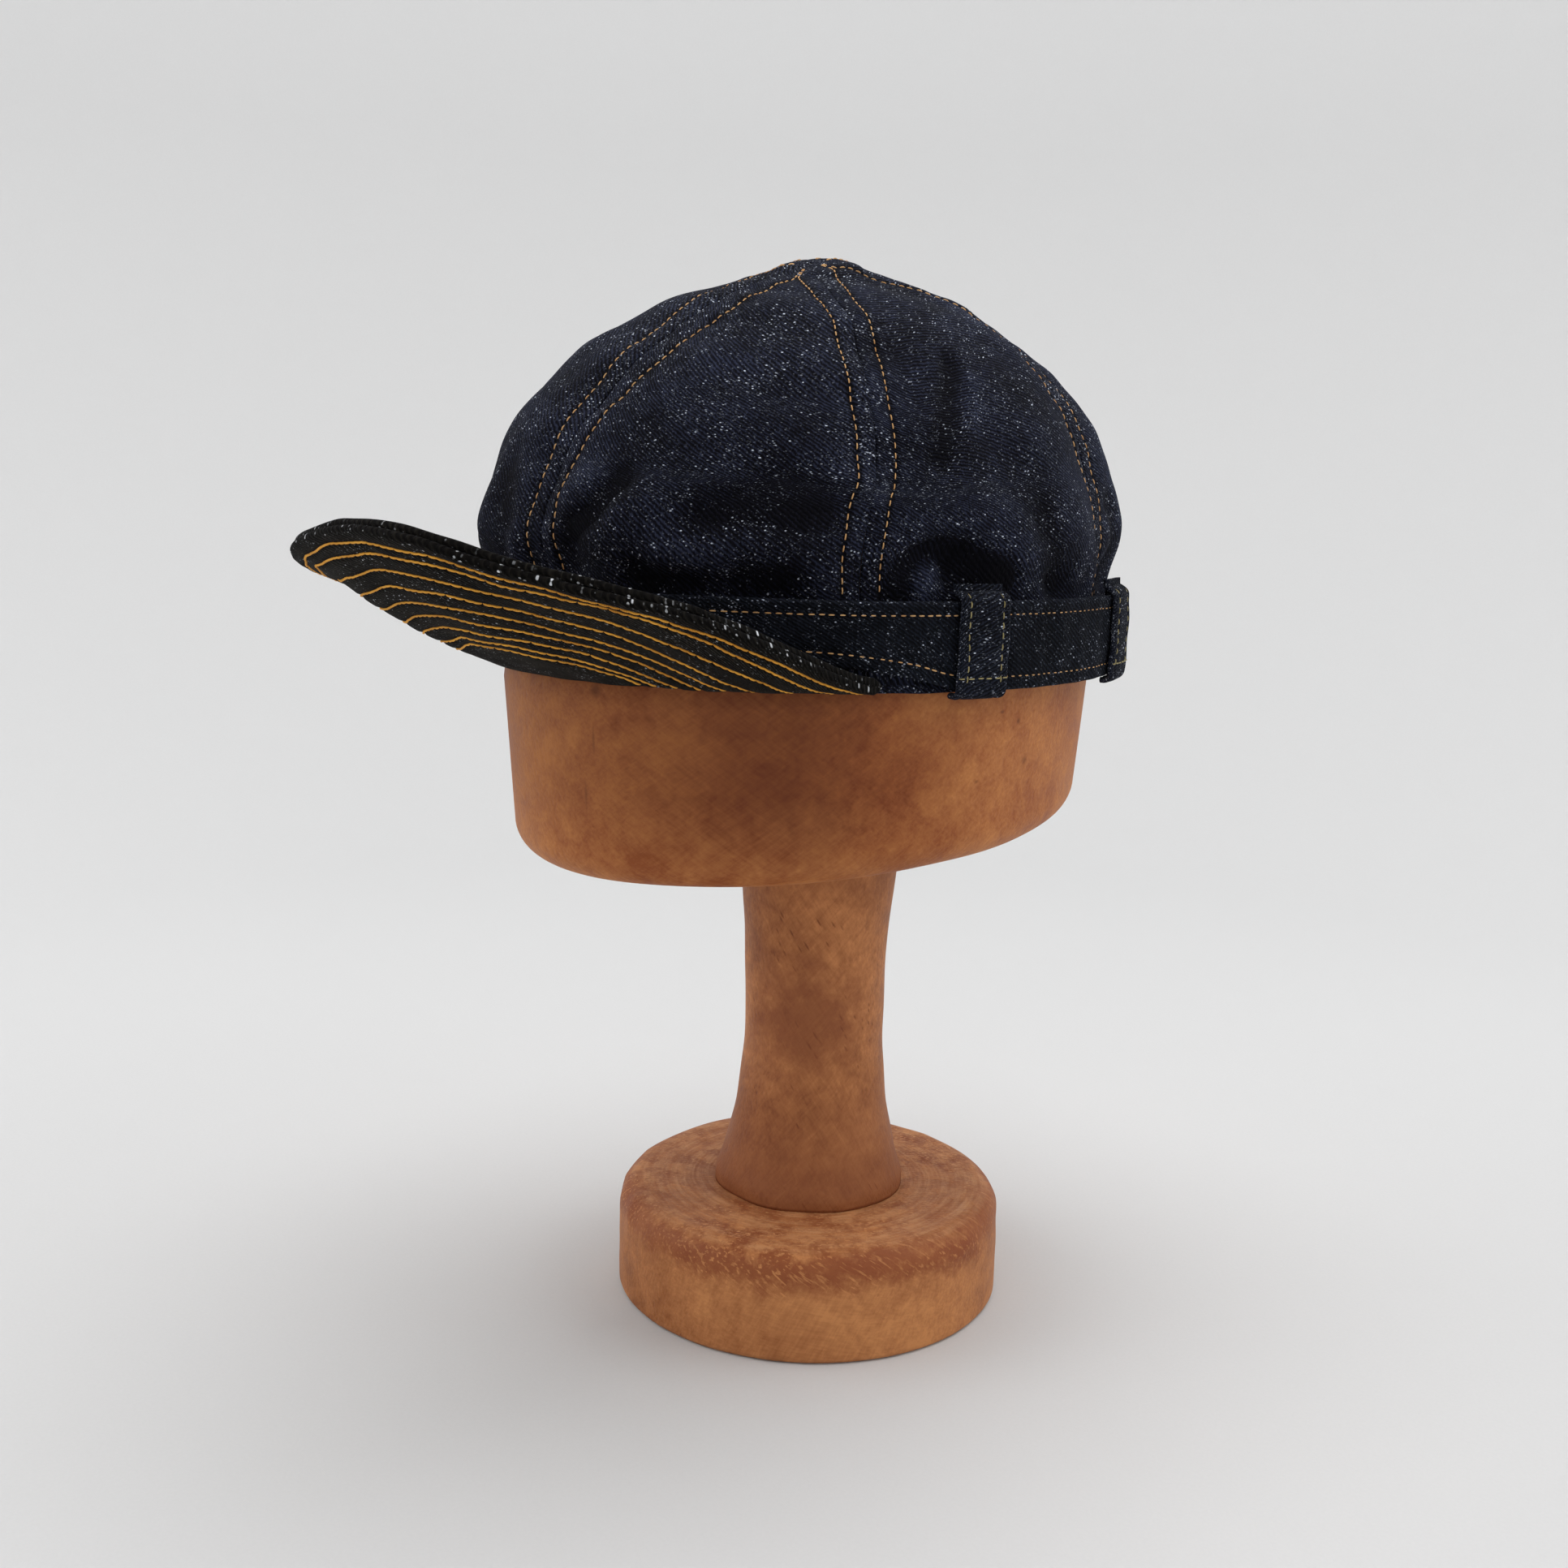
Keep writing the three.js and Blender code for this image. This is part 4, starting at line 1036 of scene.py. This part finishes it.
# The cap is sewn with thick cotton thread, orange on the crown and the belt, golden on
# the visor and greener on the loops. Each stitch is a short bow that dives into the
# cloth.
thread_radius = 0.2 * millimetre
stitch_length = 2.05 * millimetre
stitch_gap = 0.8 * millimetre


def cotton_thread(name, pale, deep):
    """Twisted cotton: a matt thread whose plies show as slanting lines."""
    material, tree, shader = new_material(name)
    thread = add(tree, "Attribute", 1, attribute_name="thread")
    # Plies of about 0.6 mm a turn
    plies = add(tree, "TexWave", 1, Vector=thread, Scale=1.2, bands_direction="DIAGONAL",
                Distortion=0.6)
    place = add(tree, "TexCoord", 3)
    fade = add(tree, "TexNoise", Vector=place, Scale=90, Detail=2)
    value = add(tree, "Math", operation="MULTIPLY_ADD", Value=plies, Value_001=0.35,
                Value_002=fade)
    colour = add(tree, "ValToRGB", Fac=value, stops=((0.35, deep), (0.8, pale)))
    bump = add(tree, "Bump", Height=plies, Strength=0.4, Distance=0.0002)
    feed(tree, shader, Base_Color=colour, Normal=bump, Roughness=0.72, Specular_IOR_Level=0.3)
    return material


def stitches(path, normal, seed, length=stitch_length, gap=stitch_gap, radius=thread_radius,
             dive=1.3):
    """Points, faces and thread coordinates of the stitches along a path on the cloth. dive is
    how deep their ends sink, in thread radii."""
    draw = np.random.default_rng(seed)
    steps = np.concatenate([[0], np.cumsum(np.linalg.norm(np.diff(path, axis=0), axis=1))])
    count = int(steps[-1] / (length + gap))
    if count < 1:
        return np.zeros((0, 3)), [], np.zeros((0, 3))
    starts = (np.arange(count) + 0.5) * steps[-1] / count - length / 2
    starts = starts + draw.uniform(-0.12, 0.12, count) * length
    rings = np.array([0.0, 0.1, 0.3, 0.5, 0.7, 0.9, 1.0])
    lifts = np.array([-dive, 0.3 - dive * 0.4, 0.55, 0.7, 0.55, 0.3 - dive * 0.4, -dive]) * radius
    sizes = np.array([0.6, 0.9, 1.0, 1.0, 1.0, 0.9, 0.6]) * radius
    sides = 6
    places = starts[:, None] + rings * length
    middle = np.stack([np.interp(places, steps, path[:, axis]) for axis in range(3)], -1)
    up = np.stack([np.interp(places, steps, normal[:, axis]) for axis in range(3)], -1)
    up /= np.linalg.norm(up, axis=-1)[..., None]
    ahead = np.gradient(middle, axis=1)
    ahead /= np.linalg.norm(ahead, axis=-1)[..., None]
    beside = np.cross(ahead, up)
    middle = middle + up * lifts[:, None]
    middle = middle + beside * (draw.normal(size=(count, 1, 1)) * 0.12 * radius)
    turns = np.arange(sides) / sides * full_turn
    spread = (np.cos(turns)[:, None] * beside[:, :, None, :]
              + np.sin(turns)[:, None] * up[:, :, None, :])
    points = middle[:, :, None, :] + spread * sizes[:, None, None]
    ring = np.arange(sides)
    one = []
    for r in range(len(rings) - 1):
        low, high = r * sides + ring, (r + 1) * sides + ring
        one.append(np.stack([low, np.roll(low, -1), np.roll(high, -1), high], -1))
    one = np.concatenate(one)
    each = sides * len(rings)
    faces = (one[None] + (np.arange(count) * each)[:, None, None]).reshape(-1, 4).tolist()
    for number in range(count):
        faces.append([number * each + i for i in range(sides)][::-1])
        faces.append([number * each + each - sides + i for i in range(sides)])
    thread = np.stack(np.broadcast_arrays(
        (places / (0.6 * millimetre))[:, :, None], turns / full_turn, 0 * places[:, :, None]), -1)
    return points.reshape(-1, 3), faces, thread.reshape(-1, 3)


def sew(name, rows, material, slot, **settings):
    """One piece that holds all the stitches along several rows."""
    all_points, all_faces, all_thread, used = [], [], [], 0
    for number, (path, normal) in enumerate(rows):
        points, faces, thread = stitches(path, normal, 100 + number, **settings)
        all_points.append(points)
        all_faces += [[used + i for i in face] for face in faces]
        all_thread.append(thread)
        used += len(points)
    add_piece(name, np.concatenate(all_points), all_faces, material, slot,
              thread=np.concatenate(all_thread))


orange_cotton = cotton_thread("twisted cotton thread, orange", "#e2b47c", "#9c6833")
visor_cotton = cotton_thread("twisted cotton thread, gold", "#f2ae40", "#b5741f")
olive_cotton = cotton_thread("twisted cotton thread, olive", "#a79a6c", "#6f6336")

# The rows of the crown run from behind the belt to just short of the tip
crown_rows = []
for panel in range(6):
    skin = crown_skin(panel)
    rows = np.linspace(0.13, 0.975, 260)
    for right_side in (0, 1):
        start, end = seams[panel], seams[panel + 1]
        radius = np.interp(rows * line_length[-1], line_length, line[:, 0]) / cap_half_length
        edge = end if right_side else start
        off = stitch_inset / ((end - start) * radius * oval_speed(edge))
        across = np.minimum(off, 0.46)
        across = 1 - across if right_side else across
        crown_rows.append((into_place(skin(across, rows)), square_to(skin, across, rows)))
sew("crown_stitches", crown_rows, orange_cotton, "crown_denim")

visor_rows_sewn = []
for under in (1, 0):
    for row in range(len(row_insets)):
        u = np.linspace(0.004, 0.996, 700)
        inset = row_inset(row, u)
        keep = visor_width_at(u) > inset + 0.4 * millimetre
        u, inset = u[keep], inset[keep]
        path = visor_face(under, u, inset)
        normal = square_to(visor_middle, u, 1 - inset / visor_width_at(u)) * (2 * under - 1)
        visor_rows_sewn.append((into_place(path), normal))
# The visor's thread is thicker, and its stitches meet end to end
sew("visor_stitches", visor_rows_sewn, visor_cotton, "visor_denim",
    gap=-0.35 * millimetre, length=2.9 * millimetre, radius=0.34 * millimetre, dive=0.1)

belt_rows_sewn = []
outer = belt_face(0)
u = np.linspace(0, 1, 900)
inner, low, top = belt_place(u * full_turn)
for level in (low + belt_stitch_inset, top - belt_stitch_inset + 0 * low):
    v = (level - low) / (top - low)
    belt_rows_sewn.append((into_place(outer(u, v)), oval_outward(u * full_turn)))
sew("belt_stitches", belt_rows_sewn, orange_cotton, "belt_denim")

loop_rows_sewn = []
for number, degrees in enumerate(loop_degrees, 1):
    grid = loop_faces[number]
    angle = np.full(loop_rows + 1, math.radians(degrees))
    edges = (1 - np.abs(np.cos(np.arange(loop_columns + 1) / loop_columns * math.pi))
             ) * loop_width / 2
    column = int(np.argmin(np.abs(edges[:loop_columns // 2] - loop_stitch_inset)))
    for at in (column, loop_columns - column):
        rows = slice(8, loop_rows - 12)
        loop_rows_sewn.append((into_place(grid[rows, at]), oval_outward(angle[rows])))
    low = float(belt_place(math.radians(degrees))[1])
    level = int(np.argmin(np.abs(grid[:loop_rows - 12, loop_columns // 2, 2]
                                 - low - belt_stitch_inset)))
    across = slice(1, loop_columns)
    loop_rows_sewn.append((into_place(grid[level, across]), oval_outward(
        np.full(loop_columns - 1, math.radians(degrees)))))
sew("loop_stitches", loop_rows_sewn, olive_cotton, "belt_denim")

# The thing stands on a pale paper sweep that curves up behind it, under soft lamps.
floor_radius = 0.62
sweep_round = 0.55
wall_height = 2.4
paper, tree, shader = new_material("matt white paper")
place = add(tree, "TexCoord", 3)
tooth = add(tree, "TexNoise", Vector=place, Scale=900, Detail=2)
colour = add(tree, "ValToRGB", Fac=tooth, stops=((0.3, "#d3d3d3"), (0.7, "#d5d5d5")))
feed(tree, shader, Base_Color=colour, Roughness=0.95, Specular_IOR_Level=0.1)
sweep_profile = [(r, 0.0) for r in np.linspace(0.02, floor_radius, 8)]
sweep_profile += [(floor_radius + sweep_round * math.sin(t),
                   sweep_round * (1 - math.cos(t))) for t in np.linspace(0, math.pi / 2, 33)[1:]]
sweep_profile += [(floor_radius + sweep_round, z) for z in (1.2, wall_height)]
sweep_points = turned(sweep_profile, 128)
sweep_faces = ring_faces(len(sweep_profile), 128)
sweep_mesh = bpy.data.meshes.new("paper_sweep")
sweep_mesh.from_pydata(sweep_points.tolist(), [], [f for f in sweep_faces
                                                    if len(sweep_points) - 1 not in f])
sweep_mesh.polygons.foreach_set("use_smooth", [True] * len(sweep_mesh.polygons))
sweep_mesh.materials.append(paper)
sweep = bpy.data.objects.new("paper_sweep", sweep_mesh)
bpy.context.scene.collection.objects.link(sweep)

world = bpy.data.worlds.new("soft sky")
world.use_nodes = True
feed(world.node_tree, world.node_tree.nodes["Background"], Color=linear("#eef0f2"),
     Strength=0.42)
bpy.context.scene.world = world
bpy.context.scene.view_settings.view_transform = "Standard"
# Name, place, size and power in watts of each lamp
for name, spot, size, power in (("lamp_above", (0.0, 0.1, 1.7), 1.3, 15.5),
                                ("lamp_right", (0.8, 0.7, 0.8), 1, 5.3),
                                ("lamp_left", (-0.75, -0.8, 0.6), 1, 6.1)):
    lamp = bpy.data.lights.new(name, "AREA")
    lamp.size = size
    lamp.energy = power
    lamp_object = bpy.data.objects.new(name, lamp)
    lamp_object.location = spot
    aim = Vector((0, 0, 0.17)) - Vector(spot)
    lamp_object.rotation_mode = "QUATERNION"
    lamp_object.rotation_quaternion = aim.to_track_quat("-Z", "Y")
    lamp_object.visible_camera = False
    bpy.context.scene.collection.objects.link(lamp_object)

# The camera stands in front and to the wearer's left, a little above the rim
view_turn = math.radians(44.4)
camera_distance = 0.56848
camera_side = -0.01188
camera_height = 0.27517
camera_pitch = math.radians(10.576)
camera_roll = math.radians(1.5)
camera = bpy.data.cameras.new("camera")
camera.lens = 41.01
camera.sensor_width = 36
camera.clip_start = 0.01
camera_object = bpy.data.objects.new("camera", camera)
right = Vector((math.sin(view_turn), math.cos(view_turn), 0))
ahead = Vector((-math.cos(view_turn), math.sin(view_turn), 0))
camera_object.location = (right * camera_side - ahead * camera_distance
                          + Vector((0, 0, camera_height)))
aim = ahead * math.cos(camera_pitch) - Vector((0, 0, math.sin(camera_pitch)))
camera_object.rotation_mode = "QUATERNION"
camera_object.rotation_quaternion = aim.to_track_quat("-Z", "Y") @ Quaternion(
    (0, 0, 1), camera_roll)
bpy.context.scene.collection.objects.link(camera_object)
bpy.context.scene.camera = camera_object
